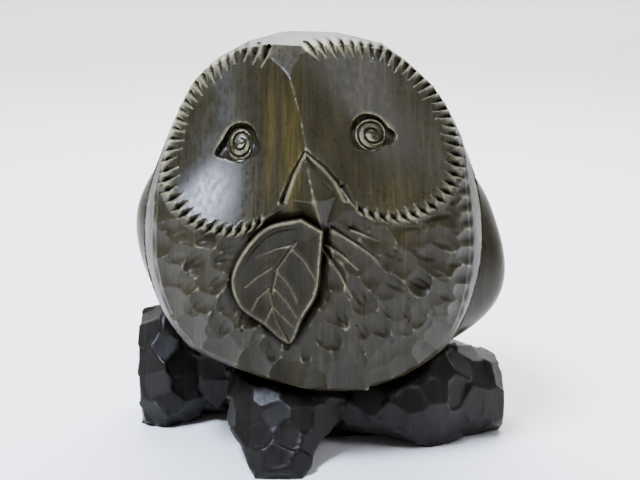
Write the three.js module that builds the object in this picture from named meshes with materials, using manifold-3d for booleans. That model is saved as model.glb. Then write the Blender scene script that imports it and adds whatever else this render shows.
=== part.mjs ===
// A folk carving in dark wood: a round owl with a leaf in its beak, on a root stand.
// Millimetres, +Z up. The owl faces -Y and looks a little upwards. The origin is on
// the ground, under the middle of the box around the figure.
//
// The owl is one skin around a heart point: a ray in each direction from the heart
// ends where the first cut stops it. The stand is a bundle of roots, each made of
// flats between rough rings, joined together and hollowed out for the owl.
import * as THREE from 'three';
import { ConvexGeometry } from 'three/addons/geometries/ConvexGeometry.js';
import { mergeVertices } from 'three/addons/utils/BufferGeometryUtils.js';
import loadManifold from 'manifold-3d';

const { degToRad, lerp, smoothstep, clamp } = THREE.MathUtils;

// Owl: its own axes are x to the viewer's right, y up its face, z out of its face
const LOOK_UP = degToRad(14);
const OWL_HEART = new THREE.Vector3(-4.5, -11.6, 119.4);
const OUTLINE = [ // reach every 22.5 degrees, from the right
  84, 82.4, 85, 89, 88.6, 89.1, 83.8, 79.2, 81.5, 85.5, 89, 85.4, 87.6, 92, 93.8, 88.5,
];
const BEVEL = [6, 1.5, 8, 2, 5.5, 4.5, 3, 5]; // how far the side band leans in, every 45 degrees
const BEVEL_DEPTH = 16;
const DOME_RADIUS = 125;
const DOME_MIDDLE = -77;
const BACK_DEPTH = 66;
const BACK_FULLNESS = 2.3;
const SEAT_HEIGHT = 35;

// Widest line of the wings and the back, every 22.5 degrees, and how far back it runs
const WING_LINE = [
  93, 81.5, 84, 86.5, 87.5, 86.5, 84, 81, 89, 89.2, 87, 86, 86, 88, 95.5, 105,
];
const WING_BACK = 27;
const WING_SWELL = { none: -2, full: 4 }; // how far a wing stands out past the band where it begins
const WING_TUCK = { depth: 6, width: 4 };

// Face: two dished discs that meet in a ridge above the beak
const FRONT_FADE = 6; // width along the side band over which the front's carving ends
const DISH_DEPTH = 15;
const DISC_EDGE = { cut: 1.02, whole: 1.12 }; // shares of the reach between which the gouging begins
const DISCS = [
  {
    middle: [-34, 31.5],
    reach: [32.5, 37.5, 45.8, 35.5, 34.3, 41, 41, 33.5],
    notchFrom: 74,
    notchTo: 290,
  },
  {
    middle: [30, 37.5],
    reach: [39, 36.8, 45.2, 49, 36, 31.5, 40, 44.5],
    notchFrom: -100,
    notchTo: 133,
  },
];
const NOTCH_PITCH = 4.7;
const NOTCH_DEPTH = 2.4;
const NOTCH_TIP = { width: 0.4, depth: 0.2 };
const NOTCH_ABOVE = { length: 8, overrun: 1.8, width: 4 };
const NOTCH_BELOW = { length: 9, overrun: 3.6, width: 3.4 };
const NOTCH_FAN = { from: [2, 14.5], share: 0.55 };
const RIM_SEARCH = { rounds: 8, step: 0.2 }; // how closely a disc's edge is fitted to the rim
const EYES = [
  { middle: [-33.6, 31], half: [6.2, 8.8], lid: [9.6, 11.2], corner: [-45.5, 26.3] },
  { middle: [28.4, 36], half: [7.8, 8.6], lid: [10.3, 10.8], corner: [42, 33] },
];
const EYE_RISE = 3.4;
const SOCKET_DEPTH = 2.6;
// Tail of the lid, towards the outer side; it starts at a share of the lid's half width
const EYE_CORNER = { start: 0.9, width: [2.4, 0.4], depth: [1.6, 0.2] };

// Beak: four flat facets around a raised point, with a groove outside both upper edges
const BEAK = {
  peak: [2, 2.5],
  corners: [[-2.3, 24], [-9.8, 4.6], [5.9, -12], [13.2, 6.5]],
  rise: 10,
  foot: -1,
};
const BEAK_GROOVES = [
  [[-2.8, 25.5], [-7.6, 16], [-12, 4.2]],
  [[-1.6, 25.5], [5.9, 19.2], [12, 12], [15.6, 5.4]],
];
const BEAK_GROOVE = { width: [2, 4], depth: [1.6, 3.2] };
const WHISKERS = [
  { from: [10.9, -8.1], to: [31.6, -22.7] },
  { from: [8.5, -15], to: [22.4, -27.7] },
  { from: [19.5, -8.1], to: [31.5, -14] },
  { from: [15.4, 10.1], to: [22.3, 0.1] },
];
const WHISKER = { width: [3, 0.6], depth: [1.6, 0.4] };

// Leaf: outline from its stem down the left side, round the tip and back up
const LEAF = [
  [-4, -4], [-20, -8], [-32, -20.5], [-36.7, -33], [-33, -45], [-22.5, -53], [-9.5, -62.5],
  [-3, -50], [3.2, -39], [5.2, -24], [6.4, -10],
];
const LEAF_STEPS = 44;
const LEAF_RISE = 4.2;
const LEAF_WALL = 1.3;
const LEAF_CUP = { depth: 3.2, rim: 11 };
const LEAF_MIDRIB = [[-7, -15], [-15.6, -27.3], [-18, -38.4], [-15, -52], [-9.8, -61]];
const MIDRIB_CUT = { width: [1.6, 1.6], depth: [0.9, 0.9] };
const HALO = { width: 4, depth: 2.2 };

// Breast: rows of overlapping gouge cuts that run out from the beak
const GOUGE_FROM = [3, 2];
const GOUGE_ROWS = { first: 22, last: 105, step: 9.5, turnWander: 0.35, outWander: 3 };
const GOUGE_DEPTHS = { least: 0.7, spread: 0.6 }; // shares of the usual depth
const GOUGE = { spacing: 12.5, half: [9, 7], depth: 2 };
const RIM_GOUGE = { spacing: 22, half: [7.5, 14], depth: 2.2 }; // longer cuts, laid along the rim
const RIM_ROWS_FROM = 78;
const GOUGE_TOP = { full: 48, none: 62 }; // heights on the face where the cuts fade out

// Flats that the knife left on the crown, the sides and the back
const OWL_FLATS = { count: 330, wander: 0.35, near: 8, deepest: 0.5, proudest: 2 };

// Root stand: each root runs through a few stations from inside the stump outwards.
// A station has its middle, half width and half height across the root's heading.
const ROOTS = {
  front: {
    heading: [0, -1],
    stations: [
      { middle: [-10, 16, 24], half: [34, 25] },
      { middle: [-19, -30, 26], half: [27, 19] },
      { middle: [-21, -44, 18], half: [20, 15] },
      { middle: [-19, -55, 6], half: [14, 12] },
      { middle: [-20, -64, 0], half: [10, 8] },
    ],
  },
  right: {
    heading: [1, 0],
    stations: [
      { middle: [-14, 6, 23], half: [32, 18] },
      { middle: [30, -1, 20], half: [30, 14] },
      { middle: [58, -2, 22], half: [28, 31] },
      { middle: [75, 8, 18], half: [25, 26] },
      { middle: [99, 12, 15], half: [18, 16] },
    ],
  },
  left: {
    heading: [-1, 0],
    stations: [
      { middle: [6, 8, 26], half: [28, 22] },
      { middle: [-44, 26, 24], half: [20, 22] },
      { middle: [-62, 28, 26], half: [20, 27] },
      { middle: [-80, 22, 27], half: [26, 35] },
      { middle: [-100, 24, 23], half: [20, 28] },
    ],
  },
  back: {
    heading: [0, 1],
    stations: [
      { middle: [0, -12, 20], half: [30, 16] },
      { middle: [2, 34, 17], half: [31, 25] },
      { middle: [4, 54, 10], half: [21, 17] },
      { middle: [4, 70, 5], half: [12, 10] },
    ],
  },
  core: {
    heading: [1, 0],
    stations: [
      { middle: [-42, 14, 6], half: [22, 18] },
      { middle: [-4, 14, 6], half: [24, 20] },
      { middle: [38, 12, 6], half: [22, 16] },
    ],
  },
};
const RING = { spacing: 13, corners: 9, wander: 0.5, swell: 0.16, stagger: 5, full: 1.07 };
const STAND_BOX = { left: -94.5, right: 94.2, front: -62, back: 65.8, top: 70 };
const SEAT_GAP = 0.3;
const FLANK_GAP = 1.2;
const RIM_GAP = 3.5;
const RIM_STEEPNESS = { from: 0.72, full: 0.88 }; // fall of a ray over which the gap widens to the rim's

// Fineness of the skins
const OWL_TRIANGLES = 8200;
const POCKET_TRIANGLES = 2600;
const SHORTEST_EDGE = 1.1;
const SMALLEST_MISS = 0.05;

// Value at an angle from values spaced evenly round a circle, joined by smooth curves
function around(values, angle) {
  const n = values.length;
  const place = ((angle / (2 * Math.PI)) * n + 4 * n) % n;
  const i = Math.floor(place);
  const t = place - i;
  const [a, b, c, d] = [-1, 0, 1, 2].map((k) => values[(i + k + n) % n]);
  return b + 0.5 * t * (c - a + t * (2 * a - 5 * b + 4 * c - d + t * (3 * (b - c) + d - a)));
}

// Same numbers every run, from 0 to 1
function wobble(seed) {
  const s = Math.sin(seed * 127.1 + 311.7) * 43758.5453;
  return s - Math.floor(s);
}

// Directions spread evenly over the whole sphere, nudged so that they don't look ruled
function scatter({ count, wander }, seed) {
  return Array.from({ length: count }, (_, i) => {
    const z = 1 - (2 * i + 1) / count;
    const turn = (i + seed) * Math.PI * (3 - Math.sqrt(5));
    const flat = Math.sqrt(1 - z * z);
    const nudge = new THREE.Vector3(...[0.3, 0.6, 0.9].map((k) => wobble(i + seed + k) - 0.5));
    return new THREE.Vector3(flat * Math.cos(turn), flat * Math.sin(turn), z)
      .addScaledVector(nudge, (wander * 4) / Math.sqrt(count))
      .normalize();
  });
}

// Knife flats: planes that just touch a smooth skin at scattered places
function flatsOn(reach, scattered) {
  const tiny = 0.03;
  return scattered.map((dir) => {
    const side = new THREE.Vector3(0, 0, 1).cross(dir).normalize();
    const up = dir.clone().cross(side);
    const point = (a, b) => {
      const d = dir.clone().addScaledVector(side, a).addScaledVector(up, b).normalize();
      return d.multiplyScalar(reach(d));
    };
    const normal = point(tiny, 0).sub(point(-tiny, 0)).cross(point(0, tiny).sub(point(0, -tiny)));
    normal.normalize();
    return { dir, normal, offset: normal.dot(point(0, 0)) };
  });
}

// The smooth reach, moved onto the flats around it
function onFlats(flats, dir, smooth) {
  const leastFacing = 0.2;
  const near = [];
  for (const flat of flats) {
    const closeness = flat.dir.dot(dir);
    if (near.length === OWL_FLATS.near && closeness <= near.at(-1).closeness) continue;
    near.push({ flat, closeness });
    near.sort((p, q) => q.closeness - p.closeness);
    near.length = Math.min(near.length, OWL_FLATS.near);
  }
  const reaches = near.map(({ flat }) => flat.offset / Math.max(leastFacing, flat.normal.dot(dir)));
  return smooth + clamp(Math.min(...reaches) - smooth, -OWL_FLATS.deepest, OWL_FLATS.proudest);
}

// Share of a wing at an angle: 1 where it swells out behind the side band
function wingShare(angle) {
  const swell = around(WING_LINE, angle) - around(OUTLINE, angle);
  return smoothstep(swell, WING_SWELL.none, WING_SWELL.full);
}

// Side band, wings and back of the owl, without the domed front. Seen in the half
// plane at the ray's angle, the profile is a slanting band, a tuck and a round back.
function owlSide(dir) {
  const across = Math.hypot(dir.x, dir.y);
  const angle = Math.atan2(dir.y, dir.x);
  const band = around(OUTLINE, angle);
  if (dir.z >= 0) return band / (across + (around(BEVEL, angle) / BEVEL_DEPTH) * dir.z);
  const wing = around(WING_LINE, angle);
  const tuck = WING_TUCK.width * wingShare(angle);
  const slope = across / -dir.z;
  const profile = (depth) => {
    if (depth < WING_TUCK.depth) return band - (tuck * depth) / WING_TUCK.depth;
    if (depth < WING_BACK) {
      const t = (depth - WING_TUCK.depth) / (WING_BACK - WING_TUCK.depth);
      return lerp(band - tuck, wing, Math.sin((t * Math.PI) / 2));
    }
    const t = (depth - WING_BACK) / (BACK_DEPTH - WING_BACK);
    return wing * Math.max(0, 1 - t ** BACK_FULLNESS) ** (1 / BACK_FULLNESS);
  };
  let [before, after] = [0, BACK_DEPTH];
  for (let step = 0; step < 30; step += 1) {
    const middle = (before + after) / 2;
    if (middle * slope < profile(middle)) before = middle;
    else after = middle;
  }
  return Math.hypot(profile(before), before);
}

function owlDome(dir) {
  const along = dir.z * DOME_MIDDLE;
  return along + Math.sqrt(along * along + DOME_RADIUS ** 2 - DOME_MIDDLE ** 2);
}

// Height of the owl's own point above the ground for one millimetre along a ray
function rise(dir) {
  return Math.cos(LOOK_UP) * dir.y + Math.sin(LOOK_UP) * dir.z;
}

const owlFlats = flatsOn(owlSide, scatter(OWL_FLATS, 0).filter((dir) => owlSide(dir) < owlDome(dir)));

// Skin of the owl before its face and breast are cut, and how much of it is front
function owlBlock(dir) {
  const dome = owlDome(dir);
  const smooth = owlSide(dir);
  const rough = dir.z > 0 ? 1 : 1 - wingShare(Math.atan2(dir.y, dir.x));
  const side = lerp(smooth, onFlats(owlFlats, dir, smooth), rough);
  let reach = Math.min(dome, side);
  if (rise(dir) < 0) reach = Math.min(reach, (SEAT_HEIGHT - OWL_HEART.z) / rise(dir));
  return { reach, front: 1 - smoothstep(dome - side, 0, FRONT_FADE) };
}

// Share of the way from a shape's middle to its edge: 0 in the middle, 1 on the edge
function discGauge({ middle, reach }, x, y) {
  const [dx, dy] = [x - middle[0], y - middle[1]];
  return Math.hypot(dx, dy) / around(reach, Math.atan2(dy, dx));
}

// V cuts: each runs from a wide, deep end to a fine end
function strokeDepth(strokes, x, y) {
  let deepest = 0;
  for (const { from, to, width, depth } of strokes) {
    const [lx, ly] = [to[0] - from[0], to[1] - from[1]];
    const t = clamp(((x - from[0]) * lx + (y - from[1]) * ly) / (lx * lx + ly * ly), 0, 1);
    const off = Math.hypot(x - from[0] - t * lx, y - from[1] - t * ly);
    const wide = lerp(width[0], width[1], t) / 2;
    if (off < wide) deepest = Math.max(deepest, lerp(depth[0], depth[1], t) * (1 - off / wide));
  }
  return deepest;
}

// One long cut through several places, which changes evenly from its first to its last
function chain(points, width, depth) {
  const between = ([first, last], i) => lerp(first, last, i / (points.length - 1));
  return points.slice(1).map((to, i) => ({
    from: points[i],
    to,
    width: [between(width, i), between(width, i + 1)],
    depth: [between(depth, i), between(depth, i + 1)],
  }));
}

// Distance from the heart, seen from the front, at which the dome meets the side band
function rimReach(angle) {
  const outer = around(OUTLINE, angle);
  const lean = around(BEVEL, angle) / BEVEL_DEPTH;
  let reach = outer;
  for (let round = 0; round < RIM_SEARCH.rounds; round += 1) {
    reach = outer - lean * (DOME_MIDDLE + Math.sqrt(DOME_RADIUS ** 2 - reach ** 2));
  }
  return reach;
}

// Place of a disc's edge at an angle, on the rim of the face where that cuts the disc short
function discEdge({ middle, reach }, angle) {
  const place = (far) => [middle[0] + far * Math.cos(angle), middle[1] + far * Math.sin(angle)];
  const pastRim = ([x, y]) => Math.hypot(x, y) > rimReach(Math.atan2(y, x));
  let far = around(reach, angle);
  while (pastRim(place(far))) far -= RIM_SEARCH.step;
  return { far, edge: place(far) };
}

// Row of notches along a disc's edge, which fan out from the beak below the eyes
function notches(disc) {
  const strokes = [];
  let angle = degToRad(disc.notchFrom);
  while (angle < degToRad(disc.notchTo)) {
    const { far, edge } = discEdge(disc, angle);
    const low = smoothstep(-Math.sin(angle), -0.2, 0.9);
    const [length, overrun, width] = ['length', 'overrun', 'width']
      .map((size) => lerp(NOTCH_ABOVE[size], NOTCH_BELOW[size], low));
    const fromBeak = Math.atan2(edge[1] - NOTCH_FAN.from[1], edge[0] - NOTCH_FAN.from[0]);
    const way = [
      lerp(Math.cos(angle), Math.cos(fromBeak), NOTCH_FAN.share * low),
      lerp(Math.sin(angle), Math.sin(fromBeak), NOTCH_FAN.share * low),
    ];
    strokes.push({
      from: edge.map((e, k) => e + way[k] * overrun),
      to: edge.map((e, k) => e - way[k] * (length - overrun)),
      width: [width, NOTCH_TIP.width],
      depth: [NOTCH_DEPTH, NOTCH_TIP.depth],
    });
    angle += NOTCH_PITCH / far;
  }
  return strokes;
}

// Rows of gouge cuts, row after row out from the beak
function gouges() {
  const { first, last, step, turnWander, outWander } = GOUGE_ROWS;
  const cuts = [];
  for (let row = 0; first + row * step < last; row += 1) {
    const far = first + row * step;
    const { spacing, half, depth } = far < RIM_ROWS_FROM ? GOUGE : RIM_GOUGE;
    const inRow = Math.round((2 * Math.PI * far) / spacing);
    for (let k = 0; k < inRow; k += 1) {
      const seed = row * 57 + k;
      const place = k + 0.5 * (row % 2) + turnWander * (wobble(seed) - 0.5);
      const turn = (2 * Math.PI * place) / inRow;
      const out = far + outWander * (wobble(seed + 0.5) - 0.5);
      cuts.push({
        middle: [GOUGE_FROM[0] + out * Math.cos(turn), GOUGE_FROM[1] + out * Math.sin(turn)],
        turn,
        half,
        depth: depth * (GOUGE_DEPTHS.least + GOUGE_DEPTHS.spread * wobble(seed + 0.2)),
      });
    }
  }
  return cuts;
}

const notchStrokes = DISCS.flatMap(notches);
const gougeCuts = gouges();
const beakGrooves = BEAK_GROOVES.flatMap((places) => (
  chain(places, BEAK_GROOVE.width, BEAK_GROOVE.depth)
));
const midribStrokes = chain(LEAF_MIDRIB, MIDRIB_CUT.width, MIDRIB_CUT.depth);
const whiskerStrokes = WHISKERS.flatMap(({ from, to }) => (
  chain([from, to], WHISKER.width, WHISKER.depth)
));
const eyeCorners = EYES.flatMap(({ middle, lid, corner }) => {
  const outer = Math.sign(corner[0] - middle[0]) * lid[0];
  const start = [middle[0] + EYE_CORNER.start * outer, middle[1]];
  return chain([start, corner], EYE_CORNER.width, EYE_CORNER.depth);
});

function gougeDepth(x, y) {
  let deepest = 0;
  for (const { middle, turn, half, depth } of gougeCuts) {
    const [dx, dy] = [x - middle[0], y - middle[1]];
    if (Math.abs(dx) + Math.abs(dy) > 2 * Math.max(...half)) continue;
    const along = (dx * Math.cos(turn) + dy * Math.sin(turn)) / half[0];
    const across = (dy * Math.cos(turn) - dx * Math.sin(turn)) / half[1];
    deepest = Math.max(deepest, depth * (1 - along * along - across * across));
  }
  return deepest;
}

// Eyeball in a socket that is cut crisply under the upper lid and fades out below
function eyeRise({ middle, half, lid }, x, y) {
  const [dx, dy] = [x - middle[0], y - middle[1]];
  const ball = Math.hypot(dx / half[0], dy / half[1]);
  const underLid = 1 - smoothstep(Math.hypot(dx / lid[0], dy / lid[1]), 0.9, 1.02);
  const socket = SOCKET_DEPTH * underLid * smoothstep(dy / lid[1], -1, 0.1);
  return EYE_RISE * Math.sqrt(Math.max(0, 1 - ball * ball)) - socket;
}

// Four flat facets that fall from the peak to the corners
function beakHeight(x, y) {
  const [px, py] = [x - BEAK.peak[0], y - BEAK.peak[1]];
  const spokes = BEAK.corners.map(([cx, cy]) => [cx - BEAK.peak[0], cy - BEAK.peak[1]]);
  for (let i = 0; i < spokes.length; i += 1) {
    const [a, b] = [spokes[i], spokes[(i + 1) % spokes.length]];
    const area = a[0] * b[1] - a[1] * b[0];
    const s = (px * b[1] - py * b[0]) / area;
    const t = (a[0] * py - a[1] * px) / area;
    if (s >= -1e-9 && t >= -1e-9) return s + t < 1 ? BEAK.foot + BEAK.rise * (1 - s - t) : null;
  }
  return null;
}

// Outline of the leaf as a smooth closed curve, and the distance to it, positive inside
const leafCurve = new THREE.CatmullRomCurve3(
  LEAF.map(([x, y]) => new THREE.Vector3(x, y, 0)), false, 'centripetal',
);
const leafEdge = leafCurve.getSpacedPoints(LEAF_STEPS);

function leafInside(x, y) {
  let nearest = Infinity;
  let inside = false;
  leafEdge.forEach((a, i) => {
    const b = leafEdge[(i + 1) % leafEdge.length];
    const [lx, ly] = [b.x - a.x, b.y - a.y];
    const t = clamp(((x - a.x) * lx + (y - a.y) * ly) / (lx * lx + ly * ly), 0, 1);
    nearest = Math.min(nearest, Math.hypot(x - a.x - t * lx, y - a.y - t * ly));
    if (a.y > y !== b.y > y && x < a.x + ((y - a.y) * lx) / ly) inside = !inside;
  });
  return inside ? nearest : -nearest;
}

// Height of the carved front above the dome, negative where wood was taken away
function relief(x, y) {
  const gauges = DISCS.map((disc) => discGauge(disc, x, y));
  const nearDisc = Math.min(...gauges);
  const offDiscs = smoothstep(nearDisc, DISC_EDGE.cut, DISC_EDGE.whole);
  const offCrown = 1 - smoothstep(y, GOUGE_TOP.full, GOUGE_TOP.none);
  let height = -gougeDepth(x, y) * offDiscs * offCrown;
  height = Math.min(height, ...gauges.map((g) => -DISH_DEPTH * (1 - g * g)));
  height -= strokeDepth(notchStrokes, x, y);
  for (const eye of EYES) height += eyeRise(eye, x, y);
  height -= strokeDepth(eyeCorners, x, y);
  height -= Math.max(strokeDepth(beakGrooves, x, y), strokeDepth(whiskerStrokes, x, y));
  const beak = beakHeight(x, y);
  const inLeaf = leafInside(x, y);
  if (inLeaf < 0) height -= HALO.depth * clamp(1 + inLeaf / HALO.width, 0, 1);
  if (inLeaf > 0) {
    const cup = LEAF_CUP.depth * smoothstep(inLeaf, 0, LEAF_CUP.rim);
    const leaf = LEAF_RISE * Math.min(1, inLeaf / LEAF_WALL) - cup;
    height = Math.max(height, leaf - strokeDepth(midribStrokes, x, y));
  }
  if (beak !== null) height = Math.max(height, beak);
  return height;
}

function owlSkin(dir) {
  const { reach, front } = owlBlock(dir);
  const point = dir.clone().multiplyScalar(reach);
  if (front > 0) point.z += front * relief(point.x, point.y);
  return point;
}

// Hollow for the owl in the stand: the owl's uncut block, grown by a gap that is
// wider around the rim of the seat
function pocketSkin(dir) {
  const nearRim = smoothstep(-rise(dir), RIM_STEEPNESS.from, RIM_STEEPNESS.full);
  const gap = lerp(FLANK_GAP, RIM_GAP, nearRim);
  const reach = owlBlock(dir).reach + gap;
  const seat = rise(dir) < 0 ? (SEAT_HEIGHT - SEAT_GAP - OWL_HEART.z) / rise(dir) : Infinity;
  return dir.clone().multiplyScalar(Math.min(reach, seat));
}

// Closed mesh of a skin: starts as a ball and splits the edges that miss it by most
function skinGeometry(skin, triangleLimit, firstDetail) {
  const ball = new THREE.IcosahedronGeometry(1, firstDetail).getAttribute('position');
  const dirs = [];
  const found = new Map();
  const corner = (dir) => {
    const key = [dir.x, dir.y, dir.z].map((c) => Math.round(c * 1e5)).join();
    if (!found.has(key)) found.set(key, dirs.push(dir) - 1);
    return found.get(key);
  };
  let faces = [];
  for (let i = 0; i < ball.count; i += 3) {
    faces.push([0, 1, 2].map((k) => {
      const dir = new THREE.Vector3().fromBufferAttribute(ball, i + k).normalize();
      return corner(dir);
    }));
  }
  const points = dirs.map(skin);
  const misses = new Map();
  const missOf = (a, b) => {
    const key = a < b ? a * 1e6 + b : b * 1e6 + a;
    if (!misses.has(key)) {
      const chord = points[b].clone().sub(points[a]);
      const length = chord.length();
      let worst = { miss: 0, key, a, b };
      if (length > 2 * SHORTEST_EDGE) {
        for (const t of [0.5, 0.3, 0.7]) {
          const dir = dirs[a].clone().lerp(dirs[b], t).normalize();
          const point = skin(dir);
          const miss = point.clone().sub(points[a]).cross(chord).length() / length;
          const room = Math.min(point.distanceTo(points[a]), point.distanceTo(points[b]));
          if (miss > worst.miss && room > SHORTEST_EDGE) worst = { miss, key, a, b, dir, point };
        }
      }
      misses.set(key, worst);
    }
    return misses.get(key);
  };
  while (faces.length < triangleLimit - 20) {
    const edges = new Set();
    for (const [a, b, c] of faces) {
      for (const edge of [missOf(a, b), missOf(b, c), missOf(c, a)]) {
        if (edge.miss > SMALLEST_MISS) edges.add(edge);
      }
    }
    if (!edges.size) break;
    const quarter = Math.ceil((triangleLimit - faces.length) / 4);
    const worst = [...edges].sort((p, q) => q.miss - p.miss).slice(0, Math.max(8, quarter));
    const split = new Map();
    for (const { key, dir, point } of worst) {
      split.set(key, dirs.push(dir) - 1);
      points.push(point);
    }
    const cut = (a, b) => split.get(a < b ? a * 1e6 + b : b * 1e6 + a);
    faces = faces.flatMap((face) => splitFace(face, cut, points));
  }
  const geometry = new THREE.BufferGeometry();
  geometry.setAttribute('position', new THREE.Float32BufferAttribute(
    points.flatMap((p) => [p.x, p.y, p.z]), 3,
  ));
  geometry.setIndex(faces.flat());
  return geometry;
}

// One triangle becomes two, three or four, by which of its edges are split
function splitFace([a, b, c], cut, points) {
  const [ab, bc, ca] = [cut(a, b), cut(b, c), cut(c, a)];
  const count = [ab, bc, ca].filter((m) => m !== undefined).length;
  if (count === 0) return [[a, b, c]];
  if (count === 3) return [[a, ab, ca], [ab, b, bc], [ca, bc, c], [ab, bc, ca]];
  if (count === 1) {
    if (ab !== undefined) return [[a, ab, c], [ab, b, c]];
    if (bc !== undefined) return [[b, bc, a], [bc, c, a]];
    return [[c, ca, b], [ca, a, b]];
  }
  if (ab === undefined) return quadCorner(c, a, b, ca, bc, points);
  if (bc === undefined) return quadCorner(a, b, c, ab, ca, points);
  return quadCorner(b, c, a, bc, ab, points);
}

// Both edges at corner p are split, at m towards q and at n towards r
function quadCorner(p, q, r, m, n, points) {
  const tip = [p, m, n];
  if (points[m].distanceTo(points[r]) < points[q].distanceTo(points[n])) {
    return [tip, [m, q, r], [m, r, n]];
  }
  return [tip, [m, q, n], [q, r, n]];
}

// Corners of one rough ring, nudged so that no two flats match
function ringCorners({ middle, half }, [hx, hy], seed) {
  const nudge = (k) => wobble(seed + k) - 0.5;
  return Array.from({ length: RING.corners }, (_, k) => {
    const turn = ((k + 0.5 + RING.wander * nudge(k)) / RING.corners) * 2 * Math.PI;
    const full = RING.full + RING.swell * nudge(k + 0.3);
    const across = half[0] * full * Math.cos(turn);
    const along = RING.stagger * nudge(k + 0.6);
    return new THREE.Vector3(
      middle[0] + hx * along - hy * across,
      middle[1] + hy * along + hx * across,
      middle[2] + half[1] * full * Math.sin(turn),
    );
  });
}

// Rings between two stations, evenly spaced, without the second station's own
function ringsBetween(a, b) {
  const count = Math.ceil(Math.hypot(...a.middle.map((v, k) => b.middle[k] - v)) / RING.spacing);
  return Array.from({ length: count }, (_, i) => ({
    middle: a.middle.map((v, k) => lerp(v, b.middle[k], i / count)),
    half: a.half.map((v, k) => lerp(v, b.half[k], i / count)),
  }));
}

// The flats stretched over each pair of neighbouring rings of a root
function rootLinks({ heading, stations }, seed) {
  const rings = stations.slice(1).flatMap((next, i) => ringsBetween(stations[i], next));
  const corners = [...rings, stations.at(-1)]
    .map((ring, i) => ringCorners(ring, heading, seed + 20 * i));
  return corners.slice(1).map((ring, i) => new ConvexGeometry([...corners[i], ...ring]));
}

const wasm = await loadManifold();
wasm.setup();

function solidFrom(geometry) {
  for (const name of Object.keys(geometry.attributes)) {
    if (name !== 'position') geometry.deleteAttribute(name);
  }
  const merged = mergeVertices(geometry, 1e-4);
  return new wasm.Manifold(new wasm.Mesh({
    numProp: 3,
    vertProperties: new Float32Array(merged.getAttribute('position').array),
    triVerts: new Uint32Array(merged.index.array),
  }));
}

function geometryFrom(solid) {
  const { vertProperties, triVerts } = solid.getMesh();
  const geometry = new THREE.BufferGeometry();
  geometry.setAttribute('position', new THREE.BufferAttribute(vertProperties, 3));
  geometry.setIndex(new THREE.BufferAttribute(triVerts, 1));
  return geometry;
}

// Box that the wood of the stand was cut from; its underside is the flat that it rests on
function standBlank() {
  const { left, right, front, back, top } = STAND_BOX;
  return new THREE.BoxGeometry(right - left, back - front, top)
    .translate((left + right) / 2, (front + back) / 2, top / 2);
}

function wood(color, roughness) {
  return new THREE.MeshStandardMaterial({ color, roughness, metalness: 0, flatShading: true });
}

const owl = new THREE.Mesh(skinGeometry(owlSkin, OWL_TRIANGLES, 8), wood('#3d362b', 0.42));
owl.name = 'owl';
owl.rotation.x = Math.PI / 2 - LOOK_UP;
owl.position.copy(OWL_HEART);
owl.updateMatrix();

const links = Object.values(ROOTS).flatMap((root, i) => rootLinks(root, 200 * i));
const roots = links.map(solidFrom).reduce((whole, link) => whole.add(link));
const pocket = skinGeometry(pocketSkin, POCKET_TRIANGLES, 7).applyMatrix4(owl.matrix);
const carved = roots.intersect(solidFrom(standBlank())).subtract(solidFrom(pocket));
const stand = new THREE.Mesh(geometryFrom(carved), wood('#24211e', 0.5));
stand.name = 'root_stand';

const figurine = new THREE.Group();
figurine.add(owl, stand);

export default figurine;
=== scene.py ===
"""Looks of a folk carving: a round wooden owl with a leaf in its beak, on a root stand.

Sizes are in millimetres while a shape is worked out, and in metres once it is a mesh.
The owl faces -Y and looks a little upwards, and the ground is z = 0.
"""

from __future__ import annotations

import logging
import math
from dataclasses import dataclass, field
from enum import Enum
from typing import Callable, Sequence

import bmesh
import bpy
import numpy as np
from mathutils import Matrix, Vector
from mathutils.bvhtree import BVHTree
from mathutils.kdtree import KDTree

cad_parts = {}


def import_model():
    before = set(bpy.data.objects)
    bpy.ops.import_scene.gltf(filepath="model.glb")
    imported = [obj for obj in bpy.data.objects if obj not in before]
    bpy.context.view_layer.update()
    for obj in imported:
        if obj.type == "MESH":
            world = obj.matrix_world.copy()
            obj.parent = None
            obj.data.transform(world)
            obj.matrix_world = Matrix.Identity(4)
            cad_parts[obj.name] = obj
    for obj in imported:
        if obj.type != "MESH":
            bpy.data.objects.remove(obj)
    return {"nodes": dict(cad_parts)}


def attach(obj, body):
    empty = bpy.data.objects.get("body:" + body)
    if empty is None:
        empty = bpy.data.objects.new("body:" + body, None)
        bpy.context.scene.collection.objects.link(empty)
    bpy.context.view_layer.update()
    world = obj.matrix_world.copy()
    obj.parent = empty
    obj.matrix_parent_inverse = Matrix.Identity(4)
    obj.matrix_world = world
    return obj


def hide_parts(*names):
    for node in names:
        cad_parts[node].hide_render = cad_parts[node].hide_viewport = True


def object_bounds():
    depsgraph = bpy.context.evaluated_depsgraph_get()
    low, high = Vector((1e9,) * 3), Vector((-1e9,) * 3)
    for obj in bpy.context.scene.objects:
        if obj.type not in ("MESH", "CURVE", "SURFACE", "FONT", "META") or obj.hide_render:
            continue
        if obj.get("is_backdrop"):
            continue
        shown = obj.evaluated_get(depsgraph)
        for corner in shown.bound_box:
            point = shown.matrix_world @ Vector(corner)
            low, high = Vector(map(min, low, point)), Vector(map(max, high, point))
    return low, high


LOG = logging.getLogger("owl")
MM = 0.001
Grid = np.ndarray
Pair = tuple[float, float]


def smoothstep(x: Grid, low: float, high: float) -> Grid:
    """Smooth ramp of x.

    Args:
        x: Values.
        low: Where the ramp starts, at 0.
        high: Where it ends, at 1.

    Returns:
        The ramp's value at each x.
    """
    t = np.clip((x - low) / (high - low), 0.0, 1.0)
    return t * t * (3.0 - 2.0 * t)


def lerp(a: Grid, b: Grid, t: Grid) -> Grid:
    """Value between a at t = 0 and b at t = 1."""
    return a + (b - a) * t


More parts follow.
